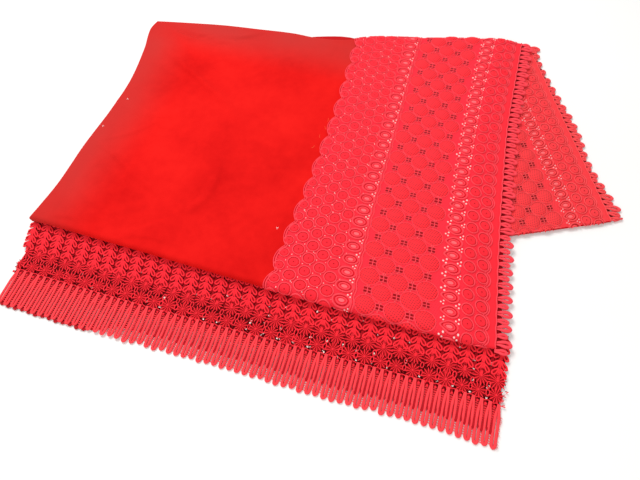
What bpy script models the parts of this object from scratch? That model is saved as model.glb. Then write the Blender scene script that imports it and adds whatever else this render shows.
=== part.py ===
"""Velvet shawl with guipure lace and a looped fringe, folded and laid flat.

The shawl lies folded on a table: X runs along the front fold, Y towards the
back fold and +Z up, in metres. "Column" is a place across the top layer, read
on the middle row, and "row" is a place from the front fold to the back one.
"""
import math

import bmesh
import bpy
from mathutils import Vector

# Cloth, in metres
VELVET_WALL = 0.0016
LACE_WALL = 0.0011
SEAM_GAP = 0.0003
LACE_RELIEF = 0.0008

# Middle of the shawl's outline, which the whole part is moved to
OUTLINE_MIDDLE = Vector((0.0, 0.0023, 0.0))

# Heights of the folded stack
STACK_TOP = 0.0150
TUCK_OVER_BORDER = 0.0040
TUCK_OVER_LAYERS = 0.0063
TUCK_RISE_WIDTH = 0.016
HEM_SLOPE_WIDTH = 0.036

# Height of the top layer's face at its hem, from front to back: y, height
HEM_TOPS = (
    (-0.168, 0.0088),
    (-0.130, 0.0074),
    (-0.080, 0.0068),
    (-0.040, 0.0088),
    (0.020, 0.0092),
    (0.264, 0.0094),
)

# Front fold, and how far the cloth goes on under each fold
FRONT_FOLD = -0.1675
TUCK_LENGTH = 0.0060
FOLD_RADIUS = 0.0048
MIN_FOLD_RADIUS = 0.0018

# Share of the way back, then x of the left fold, scallop edge, left ovals,
# right ovals and hem
CROSS_LINES = (
    (0.00, -0.319, -0.034, 0.051, 0.161, 0.205),
    (0.15, -0.313, -0.031, 0.047, 0.152, 0.199),
    (0.32, -0.310, -0.030, 0.045, 0.147, 0.194),
    (0.50, -0.305, -0.030, 0.045, 0.142, 0.188),
    (0.66, -0.304, -0.031, 0.044, 0.140, 0.184),
    (0.83, -0.313, -0.031, 0.042, 0.140, 0.184),
    (1.00, -0.3235, -0.035, 0.041, 0.142, 0.184),
)
MIDDLE_COLUMNS = (-0.305, -0.030, 0.045, 0.142, 0.188)
LEFT_COLUMN = MIDDLE_COLUMNS[0]
HEM_COLUMN = MIDDLE_COLUMNS[-1]

# Back fold of the top layer, and of the layers beneath it: x, top layer y, lower y
BACK_FOLDS = (
    (-0.320, 0.175, 0.172),
    (-0.238, 0.188, 0.185),
    (-0.170, 0.196, 0.194),
    (-0.117, 0.200, 0.2035),
    (-0.082, 0.199, 0.2160),
    (-0.048, 0.204, 0.2240),
    (-0.010, 0.2195, 0.2215),
    (0.050, 0.2332, 0.229),
    (0.101, 0.2448, 0.241),
    (0.146, 0.2550, 0.251),
    (0.184, 0.2637, 0.260),
)

# Grid of the velvet between its folds, and the step that keeps its corners apart
VELVET_COLUMNS = (
    -0.280, -0.245, -0.210, -0.175, -0.140, -0.105, -0.070, -0.048,
    -0.031, -0.0136, 0.0, 0.0345, 0.088, 0.132, 0.150, 0.161, 0.1735,
)
VELVET_SHARES = (
    0.045, 0.10, 0.16, 0.22, 0.30, 0.40, 0.50, 0.60, 0.70, 0.77, 0.83, 0.88, 0.93,
)
MITRE_STEP = 0.0005

# Soft ridges and dips of the bare velvet: two ends in plan, half width, height
RIDGES = (
    (-0.284, 0.128, -0.190, 0.072, 0.010, 0.0018),
    (-0.274, -0.063, -0.198, -0.091, 0.012, 0.0014),
    (-0.167, -0.112, -0.134, -0.067, 0.010, 0.0014),
    (-0.285, -0.150, -0.165, -0.146, 0.009, 0.0015),
    (-0.150, 0.160, -0.070, 0.158, 0.022, -0.0016),
)

# Lace on the top layer, across it
RING_PITCH = 0.0155
LACE_LINES = (
    -0.031, -0.0136, -0.0016, 0.0103, 0.0225, 0.0345, 0.0530, 0.0622,
    0.0751, 0.0880, 0.1010, 0.1139, 0.1268, 0.1320, 0.1500, 0.1610, 0.1735,
)
# One entry for each column of the lace: motif, rings between repeats, offset in rings
LACE_COLUMNS = (
    ("ring", 1, 0.0), ("ring", 1, 0.5), ("ring", 1, 0.0), ("ring", 1, 0.5), ("ring", 1, 0.0),
    ("oval", 1, 0.5), ("cord", 2, 0.0),
    ("disc", 2, 1.0), ("disc", 2, 0.0), ("disc", 2, 1.0), ("disc", 2, 0.0), ("disc", 2, 1.0),
    ("cord", 2, 0.0), ("oval", 1, 0.5), ("ring", 1, 0.0), ("ring", 1, 0.5),
)
SCALLOP_DEPTH = 0.0045
DISC_RADIUS = 0.0098
DISC_SHARE = 0.94
DISC_BULGE = 0.0031
RING_BULGE = 0.0010
OVAL_OPENING = 0.52
LACE_GAP = 0.0005
SCALLOP_VALLEY = 0.0030

# How far the lace goes on past the place where the cloth would be square, in fold radii
LACE_END_TURN = 0.90

# Least room for a last row of lace before a fold, in half rings
LACE_LAST_ROOM = 0.3

# Cells at the back fold count on from this step
BACK_STEP = 1000
MOTIF_KINDS = {"ring": "ring", "disc": "disc", "oval": "opening", "cord": "plain"}

# Leaf and flower border below the front fold, and its fringe
BORDER_LEFT = -0.305
BORDER_RIGHT = 0.223
BORDER_BACK = -0.150
CHAIN_COUNT = 32
LEAF_ROWS = (-0.1912, -0.1830, -0.1748, -0.1666)
FLOWER_ROWS = (-0.2150, -0.2030)
UNDER_BORDER_TOP = 0.0018
BORDER_BOTTOM = 0.0021
BORDER_WALL = 0.0015
LEAF_RELIEF = 0.0008
LEAF_GAP_WIDE = 0.36
LEAF_GAP_NARROW = 0.25
LEAF_GAP_HALF_LENGTH = 0.0027
UNDER_BORDER_INSET = 0.001
UNDER_BORDER_RIGHT_INSET = 0.003
UNDER_BORDER_BEVEL = 0.0005
FRINGE_PER_CHAIN = 2
UNDER_FRINGE_COUNT = 16
UNDER_FRINGE_LEFT = -0.3020
UNDER_FRINGE_LENGTH = 0.0465
STRIP_WIDTH = 0.0020
STRAND_THICKNESS = 0.0013
FRINGE_STRAND_WIDTH = 0.0070
FRINGE_TAPER = 0.0010
FRINGE_FALL = 0.0002
UNDER_FRINGE_FALL = 0.0001
UNDER_FRINGE_SHORTENING = 0.0032
STRAND_TIP_SHARE = 0.8

# Ends of the fringe along the border: x, y
FRINGE_ENDS = (
    (-0.305, -0.2625),
    (-0.180, -0.2622),
    (-0.060, -0.2590),
    (0.060, -0.2580),
    (0.165, -0.2545),
    (0.223, -0.2575),
)
FRINGE_WAVE = 0.0006
FRINGE_WAVE_TURN = 1.9

# The loops lie lower past the end of the second layer's loops, over this width
FRINGE_LOW_FALL = 0.0014
FRINGE_LOW_WIDTH = 0.030

# Loop trim on the hems
TRIM_PITCH = 0.0079
TRIM_STRAND_WIDTH = 0.0062
TRIM_LONG = 0.0128
TRIM_SHORT = 0.0104
TRIM_FALL = 0.0005
TRIM_TAPER = 0.0008
TRIM_END_MARGIN = 0.004
TRIM_LAST_MARGIN = 0.006
TRIM_BELOW_FACE = 0.0002

# Lower layer that turns out to the right: its hem starts at the back
FLAP_CORNER = Vector((0.1930, 0.2665))
FLAP_ALONG = Vector((0.4200, -0.9075))
FLAP_OUTWARD = Vector((0.9075, 0.4200))
FLAP_LENGTH = 0.280
FLAP_FOLD_SLANT = 0.033
FLAP_START = 0.006
FLAP_TOP = 0.0036
FLAP_UNDER_HEM = 0.012
FLAP_LACE_MARGIN = 0.002
FLAP_STEPS = 10
FLAP_TRIM_START = 0.003
FLAP_TRIM_BELOW_FACE = 0.0004
FLAP_TRIM_FALL = 0.0012
FLAP_WIDEST = 0.2
FLAP_LINES = (
    0.0095, 0.0205, 0.0315, 0.0495, 0.0547, 0.0676, 0.0805, 0.0934, 0.1063, 0.1192,
)
FLAP_COLUMNS = (
    ("ring", 1, 0.5), ("ring", 1, 0.0), ("oval", 1, 0.5), ("cord", 2, 0.0),
    ("disc", 2, 1.0), ("disc", 2, 0.0), ("disc", 2, 1.0), ("disc", 2, 0.0), ("disc", 2, 1.0),
)

# Sides of the turned-out layer: height, inset
FLAP_PROFILE = (
    (0.0, 0.0014),
    (0.0005, 0.0005),
    (0.0018, 0.0),
    (0.0031, 0.0005),
    (FLAP_TOP, 0.0018),
)

# Sides of the folded layers, with a shelf where the top layer goes under:
# height, then the inset from the folds, the front and the hem
SHELF_HEIGHT = 0.0059
LAYER_PROFILE = (
    (0.0000, 0.0070, 0.0215, 0.0170),
    (0.0009, 0.0040, 0.0198, 0.0145),
    (0.0022, 0.0036, 0.0196, 0.0140),
    (0.0029, 0.0068, 0.0212, 0.0165),
    (0.0036, 0.0036, 0.0196, 0.0140),
    (0.0050, 0.0038, 0.0200, 0.0150),
    (0.0057, 0.0075, 0.0215, 0.0180),
    (SHELF_HEIGHT, 0.0150, 0.0240, 0.0330),
    (0.0085, 0.0150, 0.0240, 0.0330),
    (0.0088, 0.0085, 0.0085, 0.0330),
    (0.0102, 0.0065, 0.0065, 0.0325),
    (0.0113, 0.0090, 0.0090, 0.0345),
)
CORNER_RADIUS = 0.009
CORNER_STEPS = 2
LAYER_SIDE_STEPS = 8

SHARP_ANGLE = math.radians(40)

COLOURS = {
    "velvet": (0.72, 0.012, 0.008),
    "velvet_lower": (0.50, 0.010, 0.010),
    "lace": (0.80, 0.040, 0.060),
    "lace_lower": (0.58, 0.020, 0.035),
    "fringe": (0.74, 0.030, 0.050),
}


# Curves and tables

def clamp(value, low, high):
    return max(low, min(high, value))


def smooth_step(value):
    share = clamp(value, 0.0, 1.0)
    return share * share * (3.0 - 2.0 * share)


def read_table(table, key):
    """Row of a table at a key in its first column, on a smooth curve through the rows."""
    last = len(table) - 1
    key = clamp(key, table[0][0], table[last][0])
    index = 0
    while index < last - 1 and key > table[index + 1][0]:
        index += 1
    before = table[max(index - 1, 0)]
    start = table[index]
    end = table[index + 1]
    after = table[min(index + 2, last)]
    span = end[0] - start[0]
    share = (key - start[0]) / span
    values = []
    for i in range(1, len(start)):
        slope_start = (end[i] - before[i]) / (end[0] - before[0]) * span
        slope_end = (after[i] - start[i]) / (after[0] - start[0]) * span
        values.append(
            start[i] * (2 * share ** 3 - 3 * share ** 2 + 1)
            + slope_start * (share ** 3 - 2 * share ** 2 + share)
            + end[i] * (3 * share ** 2 - 2 * share ** 3)
            + slope_end * (share ** 3 - share ** 2)
        )
    return values


# Form of the top layer

def back_fold(x):
    return read_table(BACK_FOLDS, x)[0]


def lower_back_fold(x):
    return read_table(BACK_FOLDS, x)[1]


def share_back(column, row):
    return clamp((row - FRONT_FOLD) / (back_fold(column) - FRONT_FOLD), 0.0, 1.0)


def cross_x(column, share):
    """Plan x of a column, which leans with the folds and the hem."""
    places = read_table(CROSS_LINES, share)
    for index in range(len(MIDDLE_COLUMNS) - 1):
        if column <= MIDDLE_COLUMNS[index + 1] or index == len(MIDDLE_COLUMNS) - 2:
            start, end = MIDDLE_COLUMNS[index], MIDDLE_COLUMNS[index + 1]
            along = (column - start) / (end - start)
            return places[index] + along * (places[index + 1] - places[index])
    return column


def ridge_height(x, y):
    total = 0.0
    for x1, y1, x2, y2, half_width, height in RIDGES:
        run = Vector((x2 - x1, y2 - y1))
        offset = Vector((x - x1, y - y1))
        along = clamp(offset.dot(run) / run.length_squared, 0.0, 1.0)
        distance = (offset - run * along).length
        total += height * math.exp(-(distance / half_width) ** 2)
    return total


def top_height(column, x, y):
    """Height of the velvet's face away from the folds; it slopes down to the hem."""
    hem_top = read_table(HEM_TOPS, y)[0]
    inside = smooth_step((HEM_COLUMN - column) / HEM_SLOPE_WIDTH)
    full = STACK_TOP + ridge_height(x, y)
    return hem_top + inside * (full - hem_top)


def tuck_height(y):
    over_layers = smooth_step((y - FRONT_FOLD) / TUCK_RISE_WIDTH)
    return TUCK_OVER_BORDER + over_layers * (TUCK_OVER_LAYERS - TUCK_OVER_BORDER)


def round_fold(distance, turn, half, lift):
    """Angle round a fold and the distance inside its line; distance goes on past the edge.

    The cloth starts to fold at turn metres inside the line; half is half the fold's height.
    """
    if distance >= turn:
        return math.pi / 2, distance
    angle = math.pi / 2 - (turn - distance) / turn
    if angle >= -math.pi / 2:
        return angle, turn - (half + lift) * math.cos(angle)
    return -math.pi / 2, turn + (-math.pi / 2 - angle) * turn


def fold_heights(column, row):
    """Middle height and half height of the top layer's fold, were it folded here."""
    share = share_back(column, row)
    x = cross_x(column, share)
    y_inside = clamp(row, FRONT_FOLD, back_fold(x))
    face = top_height(column, max(x, cross_x(LEFT_COLUMN, share)), y_inside)
    half = max((face - tuck_height(y_inside)) / 2, MIN_FOLD_RADIUS)
    return face - half, half


def top_point(column, row, lift):
    """Point on the top layer, lift metres out of the velvet's face."""
    share = share_back(column, row)
    x = cross_x(column, share)
    back = back_fold(x)
    left = cross_x(LEFT_COLUMN, share)
    middle, half = fold_heights(column, row)
    left_angle, left_inset = round_fold(column - LEFT_COLUMN, FOLD_RADIUS, half, lift)
    front_angle, front_inset = round_fold(row - FRONT_FOLD, FOLD_RADIUS, half, lift)
    back_angle, back_inset = round_fold(back - row, FOLD_RADIUS, half, lift)
    if left_angle < math.pi / 2:
        x = left + left_inset
    y = row
    if front_angle < math.pi / 2:
        y = FRONT_FOLD + front_inset
    if back_angle < math.pi / 2:
        y = back - back_inset
    angle = min(left_angle, front_angle, back_angle)
    return Vector((x, y, middle + (half + lift) * math.sin(angle)))


# Form of the lower layer that turns out to the right

def flap_point(inside, along, lift):
    """Point on the turned-out layer: inside its hem, along the hem, out of its face."""
    half = FLAP_TOP / 2
    fold = FLAP_LENGTH + FLAP_FOLD_SLANT * inside
    angle, inset = round_fold(fold - along, half, half, lift)
    if angle < math.pi / 2:
        along = fold - inset
    place = FLAP_CORNER + FLAP_ALONG * along - FLAP_OUTWARD * inside
    return Vector((place.x, place.y, half + (half + lift) * math.sin(angle)))


def flap_reach(along):
    """How far the turned-out layer goes in from its hem, to just short of the folded layers."""
    low, high = 0.0, FLAP_WIDEST
    for _ in range(30):
        inside = (low + high) / 2
        place = flap_point(inside, along, 0.0)
        hem = cross_x(HEM_COLUMN, share_back(HEM_COLUMN, place.y))
        if place.x > hem - FLAP_UNDER_HEM:
            low = inside
        else:
            high = inside
    return low


# Mesh building

def add_object(name, builder_mesh, material):
    """Link a finished piece, its faces turned outwards."""
    bmesh.ops.recalc_face_normals(builder_mesh, faces=builder_mesh.faces)
    if builder_mesh.calc_volume(signed=True) < 0.0:
        bmesh.ops.reverse_faces(builder_mesh, faces=builder_mesh.faces)
    mesh = bpy.data.meshes.new(name)
    builder_mesh.to_mesh(mesh)
    builder_mesh.free()
    mesh.shade_smooth()
    mesh.set_sharp_from_angle(angle=SHARP_ANGLE)
    mesh.materials.append(material)
    piece = bpy.data.objects.new(name, mesh)
    piece.location = -OUTLINE_MIDDLE
    bpy.context.scene.collection.objects.link(piece)
    return piece


def make_material(name, colour, roughness, sheen):
    material = bpy.data.materials.new(name)
    material.use_nodes = True
    shader = material.node_tree.nodes["Principled BSDF"]
    shader.inputs["Base Color"].default_value = (*colour, 1.0)
    shader.inputs["Roughness"].default_value = roughness
    shader.inputs["Metallic"].default_value = 0.0
    shader.inputs["Sheen Weight"].default_value = sheen
    return material


def add_rim(builder_mesh, outer_to_inner):
    """Close a wall: a quad on each face edge that only one outer face uses."""
    rims = []
    for edge in list(builder_mesh.edges):
        start, end = edge.verts
        if len(edge.link_faces) == 1 and start in outer_to_inner and end in outer_to_inner:
            rims.append((start, end))
    for start, end in rims:
        builder_mesh.faces.new((start, end, outer_to_inner[end], outer_to_inner[start]))


def cell_faces(shape, kind, outer, inner, centre, place, low, high):
    """Faces of one lace cell: a raised ring or disc, an oval opening, or plain cloth."""
    count = len(outer)
    corners = [corner for corner, vertex in outer]
    outer_verts = [vertex for corner, vertex in outer]
    inner_verts = [vertex for corner, vertex in inner]

    def inset(level, share, limit):
        verts = []
        for corner in corners:
            step = corner - centre
            spot = centre + step.normalized() * min(limit, share * step.length)
            verts.append(shape.verts.new(place(spot.x, spot.y, level)))
        return verts

    def bridge(first, second):
        for i in range(count):
            k = (i + 1) % count
            shape.faces.new((first[i], first[k], second[k], second[i]))

    if kind == "opening":
        edge_outer = inset(high, OVAL_OPENING, RING_PITCH)
        edge_inner = inset(low, OVAL_OPENING, RING_PITCH)
        bridge(outer_verts, edge_outer)
        bridge(edge_outer, edge_inner)
        bridge(edge_inner, inner_verts)
        return
    shape.faces.new(inner_verts)
    if kind == "ring":
        peak = shape.verts.new(place(centre.x, centre.y, high + LACE_RELIEF))
        for i in range(count):
            shape.faces.new((outer_verts[i], outer_verts[(i + 1) % count], peak))
    elif kind == "disc":
        plateau = inset(high + LACE_RELIEF, DISC_SHARE, DISC_RADIUS)
        bridge(outer_verts, plateau)
        shape.faces.new(plateau)
    else:
        shape.faces.new(outer_verts)


def cell_wall(name, lines, cells, place, low, high, material):
    """Wall built of cells between neighbouring lines of points.

    lines[i] maps a step number to a plan place, and each cell gives its first
    line, its first and last step, and its kind.
    """
    shape = bmesh.new()
    outer = {}
    inner = {}

    def corner_verts(line, step):
        key = (line, step)
        if key not in outer:
            spot = lines[line][step]
            outer[key] = shape.verts.new(place(spot.x, spot.y, high))
            inner[key] = shape.verts.new(place(spot.x, spot.y, low))
        return outer[key], inner[key]

    for line, first, last, kind in cells:
        route = [(line, step) for step in sorted(lines[line]) if first <= step <= last]
        back = [(line + 1, step) for step in sorted(lines[line + 1]) if first <= step <= last]
        route += list(reversed(back))
        if len(route) < 3:
            continue
        outer_side = []
        inner_side = []
        for key in route:
            top, bottom = corner_verts(*key)
            outer_side.append((lines[key[0]][key[1]], top))
            inner_side.append((lines[key[0]][key[1]], bottom))
        centre = sum((spot for spot, vertex in outer_side), Vector((0.0, 0.0))) / len(route)
        cell_faces(shape, kind, outer_side, inner_side, centre, place, low, high)
    add_rim(shape, {outer[key]: inner[key] for key in outer})
    return add_object(name, shape, material)


def lace_cells(columns, last_steps, start_steps):
    """Cells of the ring, oval and disc columns, up to where the cloth starts to fold."""
    cells = []
    for line, (motif, rings, offset) in enumerate(columns):
        last = min(last_steps[line], last_steps[line + 1])
        pitch = 2 * rings
        breaks = [start_steps[line]]
        for step in range(int(2 * offset), last + 1, pitch):
            if step > breaks[-1]:
                breaks.append(step)
        breaks.append(BACK_STEP)
        for first, end in zip(breaks, breaks[1:]):
            whole = end - first == pitch
            kind = MOTIF_KINDS[motif] if whole else "plain"
            cells.append((line, first, end, kind))
    return cells


def edge_steps():
    """Distances inside a fold's line at half a turn, at the line itself and where it is flat."""
    quarter = math.pi / 2 * FOLD_RADIUS
    return FOLD_RADIUS - quarter / 2, FOLD_RADIUS - quarter, FOLD_RADIUS


def edge_cells(column_count, steps):
    """Plain cells where the lace goes over a fold."""
    cells = []
    for line in range(column_count):
        for first, end in zip(steps, steps[1:]):
            cells.append((line, first, end, "plain"))
    return cells


def line_bulge(left_motif, right_motif):
    """Sideways shift of a line between staggered rings or discs, and its period in rings."""
    if left_motif == right_motif == "disc":
        return DISC_BULGE, 4
    if left_motif == right_motif == "ring":
        return RING_BULGE, 2
    return 0.0, 1


def comb(name, roots, material):
    """Narrow strip with strands: each root gives the strip's corners and the strand's tip.

    A root is (back corners, front corners, tip corners), each with its points at
    the start and end of the root, top first, and then the strip's next start.
    """
    shape = bmesh.new()
    sections = []
    for root in roots:
        sections.append([[shape.verts.new(point) for point in group] for group in root])
    for index, (back, front, tip) in enumerate(sections):
        top_a, top_b, low_b, low_a = front
        tip_top_a, tip_top_b, tip_low_b, tip_low_a = tip
        shape.faces.new((top_a, top_b, tip_top_b, tip_top_a))
        shape.faces.new((top_b, low_b, tip_low_b, tip_top_b))
        shape.faces.new((low_b, low_a, tip_low_a, tip_low_b))
        shape.faces.new((low_a, top_a, tip_top_a, tip_low_a))
        shape.faces.new((tip_top_a, tip_top_b, tip_low_b, tip_low_a))
        back_top, back_low = back
        if index + 1 == len(sections):
            end_top, end_low = [shape.verts.new(point) for point in strip_end(roots[index])]
            shape.faces.new((back_top, top_a, top_b, end_top))
            shape.faces.new((back_low, low_a, low_b, end_low))
            shape.faces.new((back_top, back_low, end_low, end_top))
            shape.faces.new((end_top, top_b, low_b, end_low))
            continue
        next_back, next_front, next_tip = sections[index + 1]
        shape.faces.new((back_top, top_a, top_b, next_front[0], next_back[0]))
        shape.faces.new((back_low, low_a, low_b, next_front[3], next_back[1]))
        shape.faces.new((back_top, back_low, next_back[1], next_back[0]))
        shape.faces.new((top_b, next_front[0], next_front[3], low_b))
    first_back, first_front, first_tip = sections[0]
    shape.faces.new((first_back[0], first_front[0], first_front[3], first_back[1]))
    return add_object(name, shape, material)


def strip_end(root):
    """Last two corners at the back of the strip, level with the end of the last root."""
    back, front, tip = root
    across = front[1] - front[0]
    return back[0] + across, back[1] + across


def make_root(place, start, width, length, fall, taper):
    """Strip corners and strand of one loop; place(along, out) is a point on the strip's top."""
    down = Vector((0.0, 0.0, -STRAND_THICKNESS))
    back = [place(start, 0.0), place(start, 0.0) + down]
    front_a = place(start, STRIP_WIDTH)
    front_b = place(start + width, STRIP_WIDTH)
    front = [front_a, front_b, front_b + down, front_a + down]
    drop = Vector((0.0, 0.0, -fall))
    tip_a = place(start + taper, STRIP_WIDTH + length) + drop
    tip_b = place(start + width - taper, STRIP_WIDTH + length) + drop
    thin = down * STRAND_TIP_SHARE
    return back, front, [tip_a, tip_b, tip_b + thin, tip_a + thin]


# Pieces of the shawl

def make_velvet_top(material):
    """Velvet of the top layer, which goes under at the left, front and back folds."""
    half_turn, fold_line, flat_end = edge_steps()
    edge = (fold_line, half_turn, flat_end)
    columns = [LEFT_COLUMN + distance for distance in edge]
    columns += list(VELVET_COLUMNS) + [HEM_COLUMN]
    row_count = 2 * len(edge) + len(VELVET_SHARES)
    last_column = len(columns) - 1
    last_row = row_count - 1
    shape = bmesh.new()
    outer = {}
    inner = {}

    def back_line(i):
        return back_fold(cross_x(columns[i], 1.0))

    def row_at(i, j):
        if j < len(edge):
            return FRONT_FOLD + edge[j]
        if j > last_row - len(edge):
            return back_line(i) - edge[last_row - j]
        share = VELVET_SHARES[j - len(edge)]
        return FRONT_FOLD + share * (back_line(i) - FRONT_FOLD)

    def add_point(key, column, row):
        outer[key] = shape.verts.new(top_point(column, row, 0.0))
        inner[key] = shape.verts.new(top_point(column, row, -VELVET_WALL))

    for i in range(last_column + 1):
        for j in range(row_count):
            add_point((i, j), columns[i], row_at(i, j))
    for i in range(last_column):
        for j in range(last_row):
            for side in (outer, inner):
                shape.faces.new((side[i, j], side[i + 1, j], side[i + 1, j + 1], side[i, j + 1]))

    # The edge of that grid, from the hem along the back, left and front folds
    route = [(i, last_row) for i in range(last_column, -1, -1)]
    route += [(0, j) for j in range(last_row - 1, -1, -1)]
    route += [(i, 0) for i in range(1, last_column + 1)]
    quarter = math.pi / 2 * FOLD_RADIUS
    skirt = (quarter / 2, quarter, quarter + TUCK_LENGTH)
    for level, past in enumerate(skirt, start=1):
        outward = fold_line - past
        mirrored = fold_line + past
        for i, j in route:
            column, row = columns[i], row_at(i, j)
            back = back_line(i)
            if i == 0:
                column = LEFT_COLUMN + outward
            else:
                column = max(column, LEFT_COLUMN + mirrored + MITRE_STEP * i)
            if j == 0:
                row = FRONT_FOLD + outward
            elif j == last_row:
                row = back - outward
            else:
                row = max(row, FRONT_FOLD + mirrored + MITRE_STEP * j)
                row = min(row, back - mirrored - MITRE_STEP * (last_row - j))
            add_point((i, j, level), column, row)
    for level in range(len(skirt)):
        for first, second in zip(route, route[1:]):
            above = [first, second] if level == 0 else [(*first, level), (*second, level)]
            below = [(*second, level + 1), (*first, level + 1)]
            for side in (outer, inner):
                shape.faces.new([side[key] for key in above + below])
    add_rim(shape, {outer[key]: inner[key] for key in outer})
    return add_object("velvet_top", shape, material)


def lace_line(index, widths, columns, steps, row_at):
    """Points of one line between lace columns, at its whole or every second half ring."""
    left_motif, left_rings, left_offset = columns[max(index - 1, 0)]
    right_motif = columns[min(index, len(columns) - 1)][0]
    stride = 2 if "disc" in (left_motif, right_motif) else 1
    shift, period = line_bulge(left_motif, right_motif)
    points = {}
    for step in range(0, steps + 1, stride):
        turn = (step / 2 - left_offset - period / 4) / (period / 2)
        bulge = shift * math.cos(2 * math.pi * turn)
        points[step] = Vector((widths[index] + bulge, row_at(step)))
    return points


def make_lace_top(material):
    """Wide lace on the velvet: rings, ovals and discs, scalloped on the left."""
    start_row = FRONT_FOLD + FOLD_RADIUS
    half_ring = RING_PITCH / 2
    half_turn, fold_line, flat_end = edge_steps()
    lace_end = -LACE_END_TURN * FOLD_RADIUS
    lines = []
    last_steps = []
    for index, column in enumerate(LACE_LINES):
        back = back_fold(cross_x(column, 1.0))
        steps = int((back - FOLD_RADIUS - start_row) / half_ring - LACE_LAST_ROOM)
        points = lace_line(index, LACE_LINES, LACE_COLUMNS, steps,
                           lambda step: start_row + step * half_ring)
        if index == 0:
            for step, point in points.items():
                point.x += SCALLOP_VALLEY - SCALLOP_DEPTH * abs(math.sin(math.pi * step / 4))
        last_steps.append(max(points))
        for offset, distance in ((-3, lace_end), (-2, fold_line), (-1, half_turn)):
            points[offset] = Vector((points[0].x, FRONT_FOLD + distance))
        for offset, distance in ((0, flat_end), (1, half_turn), (2, fold_line), (3, lace_end)):
            points[BACK_STEP + offset] = Vector((points[0].x, back - distance))
        lines.append(points)
    cells = lace_cells(LACE_COLUMNS, last_steps, [0] * len(LACE_COLUMNS))
    cells += edge_cells(len(LACE_COLUMNS), (-3, -2, -1, 0))
    cells += edge_cells(len(LACE_COLUMNS), (BACK_STEP, BACK_STEP + 1, BACK_STEP + 2, BACK_STEP + 3))
    low = LACE_GAP
    return cell_wall("lace_top", lines, cells, top_point, low, low + LACE_WALL, material)


def make_flap_lace(material):
    """The same lace on the turned-out layer, as far in as the top layer's hem."""
    half_ring = RING_PITCH / 2
    radius = FLAP_TOP / 2
    quarter = math.pi / 2 * radius
    last = int((FLAP_LENGTH - radius - FLAP_START) / half_ring - LACE_LAST_ROOM)
    start_steps = []
    for inside in FLAP_LINES[1:]:
        step = 0
        while flap_reach(FLAP_START + step * half_ring) < inside + FLAP_LACE_MARGIN:
            step += 2
        start_steps.append(step)
    lines = []
    last_steps = []
    for index, inside in enumerate(FLAP_LINES):
        points = lace_line(index, FLAP_LINES, FLAP_COLUMNS, last,
                           lambda step: FLAP_START + step * half_ring)
        last_steps.append(max(points))
        fold = FLAP_LENGTH + FLAP_FOLD_SLANT * inside
        for offset, distance in enumerate((radius, radius - quarter / 2, radius - quarter)):
            points[BACK_STEP + offset] = Vector((inside, fold - distance))
        lines.append(points)
    cells = lace_cells(FLAP_COLUMNS, last_steps, start_steps)
    cells += edge_cells(len(FLAP_COLUMNS), (BACK_STEP, BACK_STEP + 1, BACK_STEP + 2))
    low = SEAM_GAP
    return cell_wall("flap_lace", lines, cells, flap_point, low, low + LACE_WALL, material)


def stacked_loops(name, loops, material):
    """Closed solid through level loops of equal length, capped at both ends."""
    shape = bmesh.new()
    rings = [[shape.verts.new(point) for point in loop] for loop in loops]
    for low, high in zip(rings, rings[1:]):
        for i in range(len(low)):
            k = (i + 1) % len(low)
            shape.faces.new((low[i], low[k], high[k], high[i]))
    shape.faces.new(rings[0])
    shape.faces.new(rings[-1])
    return add_object(name, shape, material)


def rounded_sides(side_steps):
    """Places round a rounded rectangle: (side share, corner offsets) for its four sides."""
    places = []
    turns = [math.pi / 2 * step / CORNER_STEPS for step in range(CORNER_STEPS + 1)]
    for turn in turns:
        places.append((0.0, 0.0, 1 - math.cos(turn), 1 - math.sin(turn)))
    for step in range(1, side_steps):
        places.append((step / side_steps, 0.0, 0.0, 0.0))
    for turn in turns:
        places.append((1.0, 0.0, -(1 - math.sin(turn)), 1 - math.cos(turn)))
    for step in range(1, side_steps):
        places.append((1.0, step / side_steps, 0.0, 0.0))
    for turn in turns:
        places.append((1.0, 1.0, -(1 - math.cos(turn)), -(1 - math.sin(turn))))
    for step in range(side_steps - 1, 0, -1):
        places.append((step / side_steps, 1.0, 0.0, 0.0))
    for turn in turns:
        places.append((0.0, 1.0, 1 - math.sin(turn), -(1 - math.cos(turn))))
    for step in range(side_steps - 1, 0, -1):
        places.append((0.0, step / side_steps, 0.0, 0.0))
    return places


def make_folded_layers(material):
    """Layers hidden under the top one, as one rounded solid with its layers at the sides."""
    loops = []
    for height, fold_inset, front_inset, hem_inset in LAYER_PROFILE:
        loop = []
        upper = height >= SHELF_HEIGHT
        for across, back_share, corner_x, corner_y in rounded_sides(LAYER_SIDE_STEPS):
            x = LEFT_COLUMN + across * (HEM_COLUMN - LEFT_COLUMN)
            front = FRONT_FOLD + front_inset
            for _ in range(4):
                fold = back_fold(x) if upper else lower_back_fold(x)
                y = front + back_share * (fold - fold_inset - front) + corner_y * CORNER_RADIUS
                share = share_back(x, y)
                left = cross_x(LEFT_COLUMN, share) + fold_inset
                hem = cross_x(HEM_COLUMN, share) - hem_inset
                x = left + across * (hem - left) + corner_x * CORNER_RADIUS
            loop.append(Vector((x, y, height)))
        loops.append(loop)
    return stacked_loops("folded_layers", loops, material)


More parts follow.
